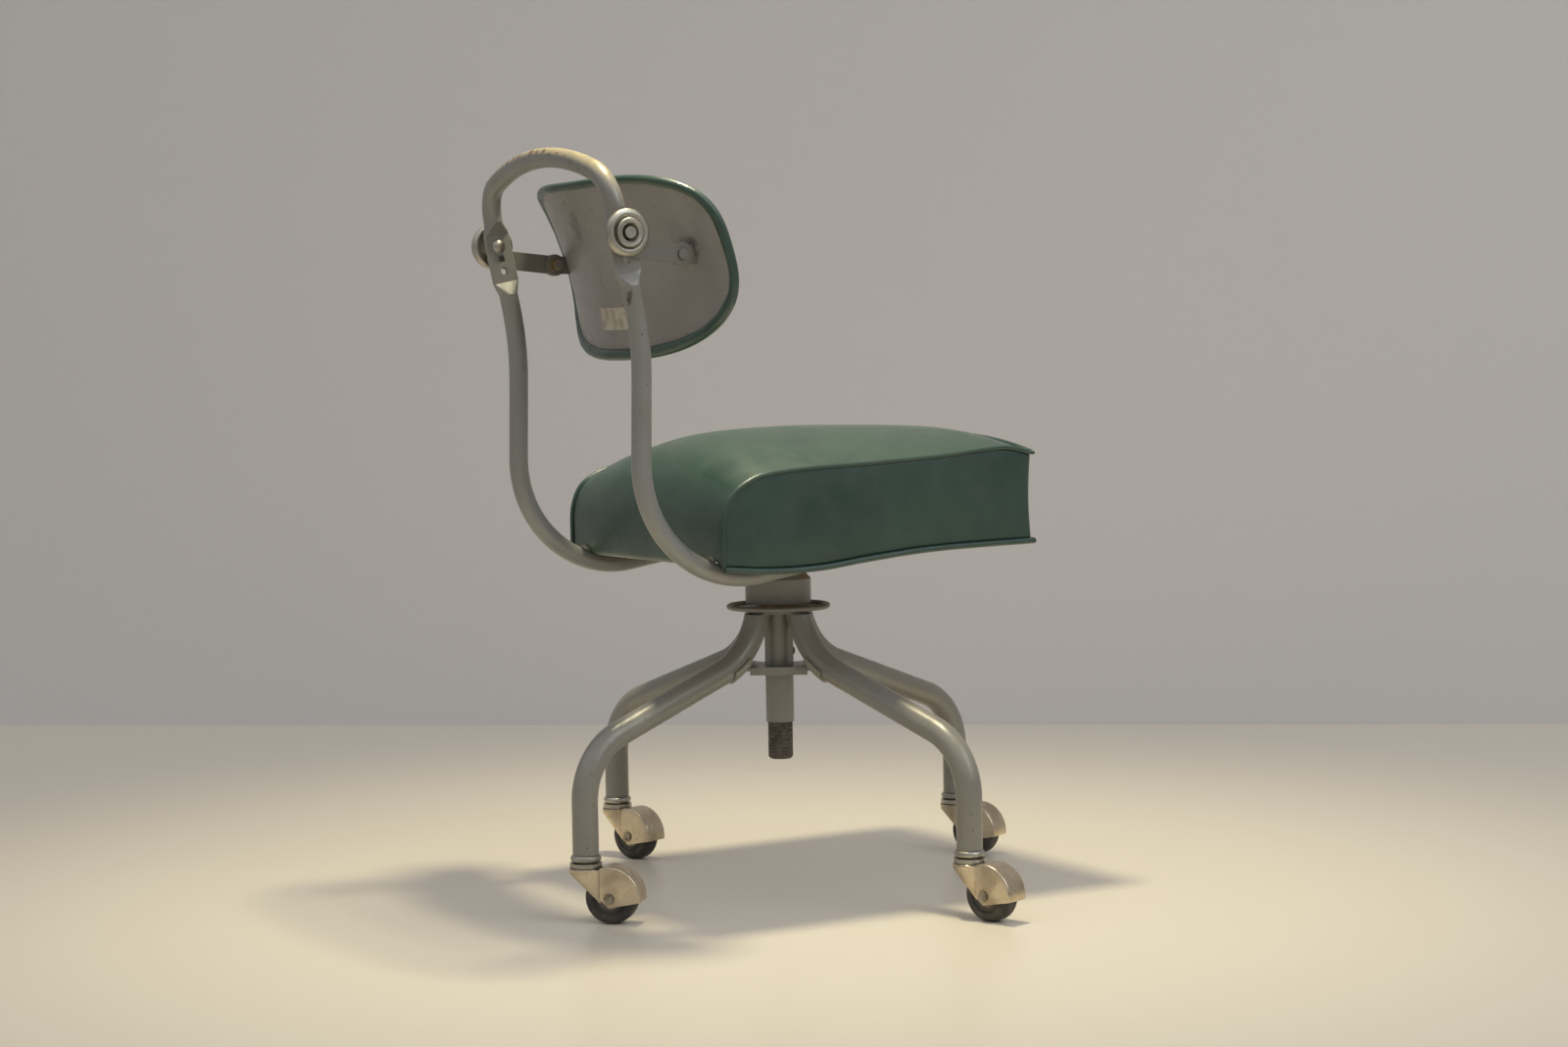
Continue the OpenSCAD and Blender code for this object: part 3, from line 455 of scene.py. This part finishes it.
def cut_away(point, outward):
    bpy.ops.mesh.select_all(action="SELECT")
    bpy.ops.mesh.bisect(plane_co=point, plane_no=outward, clear_outer=True, threshold=1e-6)


def apply_modifier(piece, kind, **settings):
    bpy.context.view_layer.objects.active = piece
    modifier = piece.modifiers.new(kind.lower(), kind)
    for label, value in settings.items():
        setattr(modifier, label, value)
    bpy.ops.object.modifier_apply(modifier=modifier.name)


clear_selection()
bpy.ops.mesh.primitive_cylinder_add(
    vertices=96, radius=HOOD_RADIUS, depth=2 * HOOD_HALF, end_fill_type="NGON",
    location=(AXLE_BACK, 0, AXLE_UP), rotation=(math.pi / 2, 0, 0),
)
hood = bpy.context.object
bpy.ops.object.transform_apply(location=True, rotation=True, scale=True)
bpy.ops.object.mode_set(mode="EDIT")
bpy.ops.mesh.select_all(action="DESELECT")
bpy.ops.mesh.select_mode(type="EDGE")
bpy.ops.object.mode_set(mode="OBJECT")
for e in hood.data.edges:
    ends = [hood.data.vertices[i].co for i in e.vertices]
    e.select = abs(ends[0].y - ends[1].y) < 1e-5
bpy.ops.object.mode_set(mode="EDIT")
bpy.ops.mesh.bevel(offset=CORNER_ROUND, segments=4, profile=0.6)
cut_away((HOOD_CREASE, 0, 0), (-1, 0, 0))
cut_away((HOOD_CREASE, 0, CREASE_FOOT), (-0.66, 0, -0.75))
cut_away((AXLE_BACK, 0, HOOD_FOOT), (0.19, 0, -0.98))
bpy.ops.object.mode_set(mode="OBJECT")
apply_modifier(hood, "SOLIDIFY", thickness=HOOD_SHEET, offset=-1)

clear_selection()
bpy.ops.mesh.primitive_cylinder_add(
    vertices=48, radius=NECK_RADIUS, depth=NECK_RING, location=(0, 0, NECK_RING_UP)
)
neck = bpy.context.object
bpy.ops.object.transform_apply(location=True, rotation=True, scale=True)
bpy.ops.object.mode_set(mode="EDIT")
bpy.ops.mesh.primitive_cube_add(
    size=1, location=(HOOD_CREASE, 0, NECK_MIDDLE), scale=(0.001, 2 * NECK_HALF, NECK_TALL)
)
bpy.ops.mesh.select_all(action="SELECT")
bpy.ops.mesh.convex_hull()
bpy.ops.mesh.select_all(action="DESELECT")
bpy.ops.mesh.select_mode(type="FACE")
bpy.ops.object.mode_set(mode="OBJECT")
for f in neck.data.polygons:
    faces_wheel = f.normal.x > 0.95
    faces_down = f.normal.z < -0.35 and f.normal.x > -0.95 and abs(f.normal.y) < 0.3
    f.select = faces_wheel or (faces_down and f.center.z < 0.0475)
bpy.ops.object.mode_set(mode="EDIT")
bpy.ops.mesh.delete(type="FACE")
bpy.ops.object.mode_set(mode="OBJECT")
apply_modifier(neck, "SOLIDIFY", thickness=HOOD_SHEET, offset=-1)

clear_selection()
bpy.ops.mesh.primitive_cylinder_add(
    vertices=64, radius=COLLAR_RADIUS, depth=COLLAR_TALL, location=(0, 0, COLLAR_UP)
)
collar = bpy.context.object
bpy.ops.object.transform_apply(location=True, rotation=True, scale=True)
apply_modifier(collar, "BEVEL", width=COLLAR_ROUND, segments=3, limit_method="ANGLE")

clear_selection()
for part in (hood, neck, collar):
    part.select_set(True)
bpy.context.view_layer.objects.active = hood
bpy.ops.object.join()
clear_selection()
hood.select_set(True)
bpy.ops.object.shade_smooth_by_angle(angle=math.radians(35))
hood_nickel = make_metal(
    "hood_nickel", (0.66, 0.56, 0.41), (0.40, 0.32, 0.22), 0.27, 34.0, (0.94, 0.88, 0.74), 0.0012
)
nodes, links = hood_nickel.node_tree.nodes, hood_nickel.node_tree.links
shader = nodes["Principled BSDF"]
# Painted shade: ambient occlusion darkens the plating toward dark brown in the crease, at the step and round
# the bead.
nook = nodes.new("ShaderNodeAmbientOcclusion")
nook.samples = 6
nook.inputs["Distance"].default_value = 0.0045
crease_shade = add_ramp(nodes, links, nook.outputs["AO"], 0.96, 0.55, 0.0, 0.85)
plated = shader.inputs["Base Color"].links[0].from_socket
links.new(add_mix(nodes, links, crease_shade, plated, (0.07, 0.055, 0.04)), shader.inputs["Base Color"])
hood.data.materials.clear()
hood.data.materials.append(hood_nickel)


def centre_of(node):
    low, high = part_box(node)
    return (low + high) / 2


for i in (1, 2, 3, 4):
    stem = centre_of(f"caster_stem_{i}")
    back = centre_of(f"caster_axle_{i}") - stem
    placed = hood if i == 4 else hood.copy()
    if i != 4:
        placed.data = hood.data.copy()
        bpy.context.scene.collection.objects.link(placed)
    placed.name = f"hood_{i}"
    placed.data.transform(
        Matrix.Translation((stem.x, stem.y, 0)) @ Matrix.Rotation(math.atan2(back.y, back.x), 4, "Z")
    )
    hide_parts(f"caster_hood_{i}")
    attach(placed, f"caster_{i}")


# ---- Green vinyl ----
# Leathercloth over padding: a deep green with a fine pebbled grain and a thin
# gloss, clouded and smeared a little paler by use.
vinyl, nodes, links, shader = start_material("green_vinyl")
where = nodes.new("ShaderNodeTexCoord").outputs["Object"]
pebble = nodes.new("ShaderNodeTexVoronoi")
pebble.feature = "SMOOTH_F1"
pebble.inputs["Scale"].default_value = 900
pebble.inputs["Smoothness"].default_value = 0.6
links.new(where, pebble.inputs["Vector"])
cloud = add_ramp(nodes, links, add_noise(nodes, links, where, 7.0, 5.0), 0.35, 0.68)
smear = add_ramp(nodes, links, add_noise(nodes, links, where, 38.0, 4.0), 0.40, 0.75)
tint = add_mix(nodes, links, cloud, (0.010, 0.043, 0.029), (0.018, 0.060, 0.038))
tint = add_mix(nodes, links, add_math(nodes, links, "MULTIPLY", smear, 0.22), tint, (0.055, 0.095, 0.065))
links.new(tint, shader.inputs["Base Color"])
links.new(add_ramp(nodes, links, add_noise(nodes, links, where, 24.0, 4.0), 0.3, 0.7, 0.33, 0.47),
          shader.inputs["Roughness"])
grain = add_math(
    nodes, links, "ADD",
    add_math(nodes, links, "MULTIPLY", pebble.outputs["Distance"], 0.35),
    add_math(nodes, links, "MULTIPLY", add_noise(nodes, links, where, 60.0, 3.0), 1.1),
)
add_bump(nodes, links, shader, grain, 0.22, 0.0009)
shader.inputs["Specular IOR Level"].default_value = 0.75
shader.inputs["Coat Weight"].default_value = 0.28
shader.inputs["Coat Roughness"].default_value = 0.24


# ---- Seat cushion ----
# A crowned top panel that wraps down the back, sewn with piping to two sides
# and a front. It is stuffed tight, so the panels swell between their seams,
# and it rests on the plywood pan with a skirt hanging round it.
seat_low, seat_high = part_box("seat_cushion")
pan_low, pan_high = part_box("seat_pan")
SEAT_HALF = seat_high.x - 0.0045
BACK_ROWS = 18
TOP_ROWS = 44
SEAT_COLUMNS = 44
SKIRT = 0.0150

# Seam line of one side, as distance forward of the seat's back and height above its lowest point
SEAM_LINE = [(0.0, 0.004), (-0.0005, 0.026), (0.0005, 0.052), (0.009, 0.073), (0.027, 0.086), (0.049, 0.093),
             (0.092, 0.097), (0.167, 0.100), (0.243, 0.104), (0.302, 0.109), (0.330, 0.110), (0.360, 0.104)]
SEAM_CORNER = 4
# The same line along the middle of the seat
CROWN_LINE = [(-0.001, 0.004), (-0.005, 0.028), (-0.005, 0.056), (0.006, 0.088), (0.028, 0.109),
              (0.052, 0.120), (0.092, 0.130), (0.167, 0.134), (0.243, 0.133), (0.302, 0.131),
              (0.332, 0.129), (0.358, 0.121)]
# Bottom edge of one side
HEM_LINE = [(0.0, 0.004), (0.054, 0.000), (0.109, 0.001), (0.165, 0.007), (0.242, 0.013), (0.360, 0.0155)]


def along(line, share):
    """A point at a share of the way along a line of points, on a smooth curve through them."""
    at = min(max(share, 0.0), 1.0) * (len(line) - 1)
    i = min(int(at), len(line) - 2)
    t = at - i
    p = [Vector((*line[min(max(k, 0), len(line) - 1)], 0)) for k in (i - 1, i, i + 1, i + 2)]
    return 0.5 * (
        2 * p[1] + (p[2] - p[0]) * t + (2 * p[0] - 5 * p[1] + 4 * p[2] - p[3]) * t * t
        + (3 * p[1] - p[0] - 3 * p[2] + p[3]) * t ** 3
    )


def even_line(line, steps, first, last):
    """Points evenly spaced along part of a line."""
    fine = [along(line, (first + (last - first) * k / 400) / (len(line) - 1)) for k in range(401)]
    run = [0.0]
    for a, b in zip(fine, fine[1:]):
        run.append(run[-1] + (b - a).length)
    out, k = [], 0
    for n in range(steps + 1):
        goal = run[-1] * n / steps
        while k < 399 and run[k + 1] < goal:
            k += 1
        share = (goal - run[k]) / max(run[k + 1] - run[k], 1e-9)
        out.append(fine[k].lerp(fine[k + 1], share))
    return out


def in_seat(point, x):
    return Vector((x, seat_high.y - point.x, seat_low.z + point.y))


last = len(SEAM_LINE) - 1
seam_rows = even_line(SEAM_LINE, BACK_ROWS, 0, SEAM_CORNER)[:-1]
seam_rows += even_line(SEAM_LINE, TOP_ROWS, SEAM_CORNER, last)
crown_rows = even_line(CROWN_LINE, BACK_ROWS, 0, SEAM_CORNER)[:-1]
crown_rows += even_line(CROWN_LINE, TOP_ROWS, SEAM_CORNER, last)
hem_rows = even_line(HEM_LINE, TOP_ROWS, 0, len(HEM_LINE) - 1)
TUBE_X = 0.1315


def tube_lift(x, y):
    """The hem is pulled up where the frame tube passes under the back of the skirt."""
    near = math.exp(-((abs(x) - TUBE_X) / 0.0125) ** 2)
    return 0.0085 * near * min(max((y - (seat_high.y - 0.030)) / 0.015, 0), 1)


def lay_grid(columns, rows, place):
    clear_selection()
    bpy.ops.mesh.primitive_grid_add(x_subdivisions=columns, y_subdivisions=rows, size=2)
    panel = bpy.context.object
    for v in panel.data.vertices:
        v.co = place(round((v.co.x + 1) / 2 * columns), round((v.co.y + 1) / 2 * rows))
    return panel


def top_place(i, j):
    x = 2 * i / SEAT_COLUMNS - 1
    x = math.copysign(abs(x) ** 0.86, x)
    rise = 1 - abs(x) ** 2.3
    point = seam_rows[j].lerp(crown_rows[j], rise)
    place = in_seat(point, x * SEAT_HALF)
    if j < 6:
        place.z += tube_lift(place.x, place.y) * (1 - j / 6)
    return place


def side_place(side):
    def place(i, j):
        u, v = i / TOP_ROWS, j / BACK_ROWS
        bottom, top = hem_rows[i], seam_rows[BACK_ROWS + i]
        back, front = seam_rows[j], hem_rows[-1].lerp(seam_rows[-1], v)
        ruled = bottom.lerp(top, v) + back.lerp(front, u)
        corners = (
            (hem_rows[0] * (1 - u) + hem_rows[-1] * u) * (1 - v)
            + (seam_rows[BACK_ROWS] * (1 - u) + seam_rows[-1] * u) * v
        )
        swell = 0.0022 * (1 - (2 * u - 1) ** 2) * (1 - (2 * v - 1) ** 2)
        spot = in_seat(ruled - corners, side * (SEAT_HALF + swell))
        spot.y += 0.0028 * math.sin(math.pi * v) * u ** 6
        if i == 0:
            spot.z += tube_lift(spot.x, spot.y) * (1 - v)
        return spot
    return place


def front_place(i, j):
    v = j / BACK_ROWS
    low = in_seat(hem_rows[-1], 0)
    top = top_place(i, BACK_ROWS + TOP_ROWS)
    x = top.x
    spot = Vector((x, low.y, low.z)).lerp(top, v)
    spot.y += 0.0028 * math.sin(math.pi * v)
    return spot


def hem_place(i, j):
    """The underside: in from the hem, up inside the skirt, and flat over the pan."""
    edge_x = top_place(i, 0).x
    ring = min(i, SEAT_COLUMNS - i, j, TOP_ROWS - j)
    hem = hem_rows[j]
    spot = in_seat(hem, edge_x)
    spot.y = seat_high.y - hem.x
    x_in = SEAT_HALF - SKIRT
    if j == 0:
        spot = top_place(i, 0)
    if ring == 0:
        return spot
    if i in (1, 2):
        spot.x = -x_in + (0.0005 if i == 2 else 0)
    if SEAT_COLUMNS - i in (1, 2):
        spot.x = x_in - (0.0005 if SEAT_COLUMNS - i == 2 else 0)
    spot.x = min(max(spot.x, -x_in), x_in)
    if j in (1, 2):
        spot.y = pan_high.y + 0.0006
        spot.z = top_place(i, 0).z + 0.0006
    if TOP_ROWS - j in (1, 2):
        spot.y = pan_low.y - 0.0006
    spot.y = min(max(spot.y, pan_low.y - 0.0006), pan_high.y + 0.0006)
    if ring > 1:
        slope = math.tan(math.radians(3.5))
        spot.z = pan_high.z + 0.0008 - (spot.y - pan_low.y) * slope
    return spot


panels = [
    lay_grid(SEAT_COLUMNS, BACK_ROWS + TOP_ROWS, top_place),
    lay_grid(TOP_ROWS, BACK_ROWS, side_place(1)),
    lay_grid(TOP_ROWS, BACK_ROWS, side_place(-1)),
    lay_grid(SEAT_COLUMNS, BACK_ROWS, front_place),
    lay_grid(SEAT_COLUMNS, TOP_ROWS, hem_place),
]
LOOSE = (1.0, 0.55, 0.55, 0.12, 0.0)
for panel, give in zip(panels, LOOSE):
    slack = panel.data.attributes.new("give", "FLOAT", "POINT")
    slack.data.foreach_set("value", [give] * len(panel.data.vertices))
clear_selection()
for panel in panels:
    panel.select_set(True)
seat_cover = panels[0]
bpy.context.view_layer.objects.active = seat_cover
bpy.ops.object.join()
seat_cover.name = seat_cover.data.name = "seat_cover"
bpy.ops.object.mode_set(mode="EDIT")
bpy.ops.mesh.select_all(action="SELECT")
bpy.ops.mesh.remove_doubles(threshold=0.0002)
bpy.ops.mesh.normals_make_consistent(inside=False)
bpy.ops.object.mode_set(mode="OBJECT")


def swell_out(piece, held, most, pressure):
    """Blows a padded piece up a little, holding its marked points. Each moves no further than most allows."""
    pins = piece.vertex_groups.new(name="held")
    pins.add(held, 1.0, "REPLACE")
    rest = [v.co.copy() for v in piece.data.vertices]
    cloth = piece.modifiers.new("stuffing", "CLOTH")
    cloth.settings.quality = 6
    cloth.settings.mass = 0.35
    cloth.settings.tension_stiffness = 30
    cloth.settings.compression_stiffness = 30
    cloth.settings.bending_stiffness = 2.5
    cloth.settings.use_pressure = True
    cloth.settings.uniform_pressure_force = pressure
    cloth.settings.vertex_group_mass = "held"
    cloth.settings.effector_weights.gravity = 0
    cloth.collision_settings.use_collision = False
    for f in range(1, 21):
        bpy.context.scene.frame_set(f)
    swollen = piece.evaluated_get(bpy.context.evaluated_depsgraph_get()).to_mesh()
    moved = [v.co.copy() for v in swollen.vertices]
    piece.evaluated_get(bpy.context.evaluated_depsgraph_get()).to_mesh_clear()
    piece.modifiers.remove(cloth)
    bpy.context.scene.frame_set(1)
    for v, start, end in zip(piece.data.vertices, rest, moved):
        step = end - start
        limit = most[v.index]
        if step.length > 1e-9:
            step *= limit * math.tanh(step.length / max(limit, 1e-6)) / step.length
        v.co = start + step


# Points that two panels share lie on a seam and stay put, and so does the whole underside
give = [0.0] * len(seat_cover.data.vertices)
seat_cover.data.attributes["give"].data.foreach_get("value", give)
normals = [[] for v in seat_cover.data.vertices]
for f in seat_cover.data.polygons:
    for k in f.vertices:
        normals[k].append(f.normal)


def on_seam(index):
    turned = normals[index]
    return any(a.dot(b) < 0.62 for a in turned for b in turned)


seam_points = {v.index for v in seat_cover.data.vertices if on_seam(v.index)}
under = {v.index for v in seat_cover.data.vertices if give[v.index] == 0.0}
SEAT_SWELL = 0.009
swell_out(seat_cover, sorted(seam_points | under), [SEAT_SWELL * g for g in give], 3.2)
apply_modifier(seat_cover, "SUBSURF", levels=1, render_levels=1)
clear_selection()
seat_cover.select_set(True)
bpy.ops.object.shade_smooth_by_angle(angle=math.radians(50))
seat_cover.data.materials.append(vinyl)
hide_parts("seat_cushion")
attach(seat_cover, "seat")


# ---- Seat piping ----
# Cord wrapped in the same vinyl and sewn into the seams: one run over each
# side, one across the front, and one round the hem of the band.
def lay_piping(name, points, radius, closed=False, radii=None):
    """A round cord through points, made a mesh."""
    clear_selection()
    path = bpy.data.curves.new(name, "CURVE")
    path.dimensions = "3D"
    path.bevel_depth = radius
    path.bevel_resolution = 5
    path.use_fill_caps = not closed
    run = path.splines.new("POLY")
    run.points.add(len(points) - 1)
    for k, (knot, p) in enumerate(zip(run.points, points)):
        knot.co = (*p, 1)
        knot.radius = radii[k] if radii else 1
    run.use_cyclic_u = closed
    cord = bpy.data.objects.new(name, path)
    bpy.context.scene.collection.objects.link(cord)
    cord.select_set(True)
    bpy.context.view_layer.objects.active = cord
    bpy.ops.object.convert(target="MESH")
    cord = bpy.context.object
    cord.name = cord.data.name = name
    bpy.ops.object.mode_set(mode="EDIT")
    bpy.ops.mesh.select_all(action="SELECT")
    bpy.ops.mesh.normals_make_consistent(inside=False)
    bpy.ops.object.mode_set(mode="OBJECT")
    bpy.ops.object.shade_smooth()
    return cord


PIPING = 0.0023
for side, label in ((1, "left"), (-1, "right")):
    line = []
    for j in range(len(seam_rows)):
        p = top_place(SEAT_COLUMNS if side > 0 else 0, j)
        p.x += side * 0.0008
        line.append(p)
    front_end = line[-1] + Vector((side * 0.0012, -0.0018, 0.0010))
    line.append(front_end)
    piping = lay_piping(f"seat_piping_{label}", line, PIPING)
    piping.data.materials.append(vinyl)
    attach(piping, "seat")
front = [top_place(i, BACK_ROWS + TOP_ROWS) + Vector((0, -0.0010, 0.0004)) for i in range(SEAT_COLUMNS + 1)]
piping = lay_piping("seat_piping_front", front, PIPING)
piping.data.materials.append(vinyl)
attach(piping, "seat")

hem = [side_place(-1)(i, 0) + Vector((-0.0014, 0, -0.0002)) for i in range(0, TOP_ROWS + 1)]
hem += [front_place(i, 0) + Vector((0, -0.0022, -0.0002)) for i in range(1, SEAT_COLUMNS)]
hem += [side_place(1)(i, 0) + Vector((0.0014, 0, -0.0002)) for i in range(TOP_ROWS, -1, -1)]
HEM_PIPING = 0.0031
piping = lay_piping("seat_piping_hem", hem, HEM_PIPING)
piping.data.materials.append(vinyl)
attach(piping, "seat")

# ---- Seat pan ----
# Bare plywood with a brown face grain that runs from front to back. The cover
# hides all of it but its underside.
plywood, nodes, links, shader = start_material("plywood")
place = nodes.new("ShaderNodeMapping")
place.inputs["Scale"].default_value = (1.0, 0.08, 1.0)
links.new(nodes.new("ShaderNodeTexCoord").outputs["Object"], place.inputs["Vector"])
streak = add_noise(nodes, links, place.outputs["Vector"], 130.0, 6.0, 0.7)
streaky = add_ramp(nodes, links, streak, 0.35, 0.7)
tint = add_mix(nodes, links, streaky, (0.36, 0.22, 0.11), (0.20, 0.11, 0.055))
links.new(tint, shader.inputs["Base Color"])
shader.inputs["Roughness"].default_value = 0.7
add_bump(nodes, links, shader, streak, 0.2, 0.0005)
finish_nodes(["seat_pan"], plywood)


# ---- Backrest shell ----
# Steel sheet pressed to a saddle and sprayed beige-grey, scuffed brown where
# it rubs, with a slit for each bracket's ear. The rating plate is blank.
hinge_low, hinge_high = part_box("pivot_bolt_left")
BACK_AT = Vector((0, (hinge_low.y + hinge_high.y) / 2 + 0.011, (hinge_low.z + hinge_high.z) / 2 - 0.009))
BACK_LEAN = Matrix.Rotation(math.radians(-17.2), 3, "X")
BACK_HALF = 0.1685
BACK_TALL = 0.0907
BACK_ROUND = 3.4
ACROSS = 0.335
UPRIGHT = 0.400


def in_back(x, z, depth):
    """A point of the saddle, so far in front of the shell's rear face."""
    ring = ACROSS + UPRIGHT - math.sqrt((UPRIGHT + depth) ** 2 - z * z)
    return BACK_AT + BACK_LEAN @ Vector((x, -ACROSS + math.sqrt(ring * ring - x * x), z))


shell_enamel = make_enamel(
    "shell_enamel", (0.295, 0.28, 0.265), (0.235, 0.215, 0.185), 0.33, 0.22,
    ((in_back(0.029, 0.052, 0), 0.0085, 0.34), (in_back(0.033, 0.040, 0), 0.0100, 0.42),
     (in_back(0.043, 0.047, 0), 0.0070, 0.28), (in_back(-0.130, 0.010, 0), 0.0120, 0.45)),
)
finish_nodes(["back_shell"], shell_enamel)

plate, nodes, links, shader = start_material("blank_plate")
where = nodes.new("ShaderNodeTexCoord").outputs["Object"]
worn = add_ramp(nodes, links, add_noise(nodes, links, where, 120.0, 5.0), 0.4, 0.65)
tint = add_mix(nodes, links, worn, (0.50, 0.46, 0.37), (0.33, 0.29, 0.22))
links.new(tint, shader.inputs["Base Color"])
shader.inputs["Roughness"].default_value = 0.4
add_bump(nodes, links, shader, worn, 0.2, 0.0003)
finish_nodes(["rating_label"], plate)


# ---- Backrest cushion ----
# A thin pad on the front of the shell, crowned and tight, with the vinyl
# rolled over the shell's edge as a bead that is fuller along the bottom.
def back_rim(angle, inset):
    c, s = math.cos(angle), math.sin(angle)
    x = math.copysign(abs(c) ** (2 / BACK_ROUND), c) * (BACK_HALF - inset)
    z = math.copysign(abs(s) ** (2 / BACK_ROUND), s) * (BACK_TALL - inset)
    return x, z


PAD_COLUMNS = 52
PAD_ROWS = 30
PAD_INSET = 0.003
PAD_EDGE = 0.0050
PAD_THICK = 0.0130
PAD_CROWN = 0.0018
PAD_BACK = 0.0034


def pad_place(front_face):
    def place(i, j):
        u, v = 2 * i / PAD_COLUMNS - 1, 2 * j / PAD_ROWS - 1
        m = max(abs(u), abs(v))
        grow = (abs(u) ** BACK_ROUND + abs(v) ** BACK_ROUND) ** (1 / BACK_ROUND)
        squeeze = m / grow if grow > 0 else 0
        x, z = u * squeeze * (BACK_HALF - PAD_INSET), v * squeeze * (BACK_TALL - PAD_INSET)
        if front_face:
            depth = PAD_EDGE + PAD_THICK * math.sqrt(max(1 - m ** 5, 0)) + PAD_CROWN * (1 - m * m)
        else:
            depth = PAD_BACK + (PAD_EDGE - PAD_BACK) * max(0, (m - 0.9) / 0.1)
        return in_back(x, z, depth)
    return place


pads = [lay_grid(PAD_COLUMNS, PAD_ROWS, pad_place(front_face)) for front_face in (True, False)]
for pad, give_way in zip(pads, (1.0, 0.0)):
    slack = pad.data.attributes.new("give", "FLOAT", "POINT")
    slack.data.foreach_set("value", [give_way] * len(pad.data.vertices))
clear_selection()
for pad in pads:
    pad.select_set(True)
back_pad = pads[0]
bpy.context.view_layer.objects.active = back_pad
bpy.ops.object.join()
back_pad.name = back_pad.data.name = "back_pad"
bpy.ops.object.mode_set(mode="EDIT")
bpy.ops.mesh.select_all(action="SELECT")
bpy.ops.mesh.remove_doubles(threshold=0.0002)
bpy.ops.mesh.normals_make_consistent(inside=False)
bpy.ops.object.mode_set(mode="OBJECT")
give = [0.0] * len(back_pad.data.vertices)
back_pad.data.attributes["give"].data.foreach_get("value", give)
rim = {
    k for f in back_pad.data.polygons for k in f.vertices
    if give[k] > 0 and any(give[n] == 0 for n in f.vertices)
}
behind = {k for k, g in enumerate(give) if g == 0.0}
BACK_SWELL = 0.004
swell_out(back_pad, sorted(rim | behind), [BACK_SWELL * g for g in give], 3.0)
apply_modifier(back_pad, "SUBSURF", levels=1, render_levels=1)
clear_selection()
back_pad.select_set(True)
bpy.ops.object.shade_smooth_by_angle(angle=math.radians(60))
back_pad.data.materials.append(vinyl)
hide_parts("back_cushion")
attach(back_pad, "back")

BEAD = 0.0049
BEAD_STEPS = 240
bead_points, bead_sizes = [], []
for k in range(BEAD_STEPS):
    angle = 2 * math.pi * k / BEAD_STEPS
    low = max(0.0, -math.sin(angle)) ** 2
    high = max(0.0, math.sin(angle)) ** 2
    size = 1 + 0.20 * low - 0.12 * high + 0.03 * math.sin(9 * angle) + 0.02 * math.sin(23 * angle)
    x, z = back_rim(angle, BEAD * size - 0.0006)
    bead_points.append(in_back(x, z, 0.0008 + 0.0022 * math.cos(angle) ** 4))
    bead_sizes.append(size)
back_bead = lay_piping("back_bead", bead_points, BEAD, closed=True, radii=bead_sizes)
back_bead.data.materials.append(vinyl)
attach(back_bead, "back")
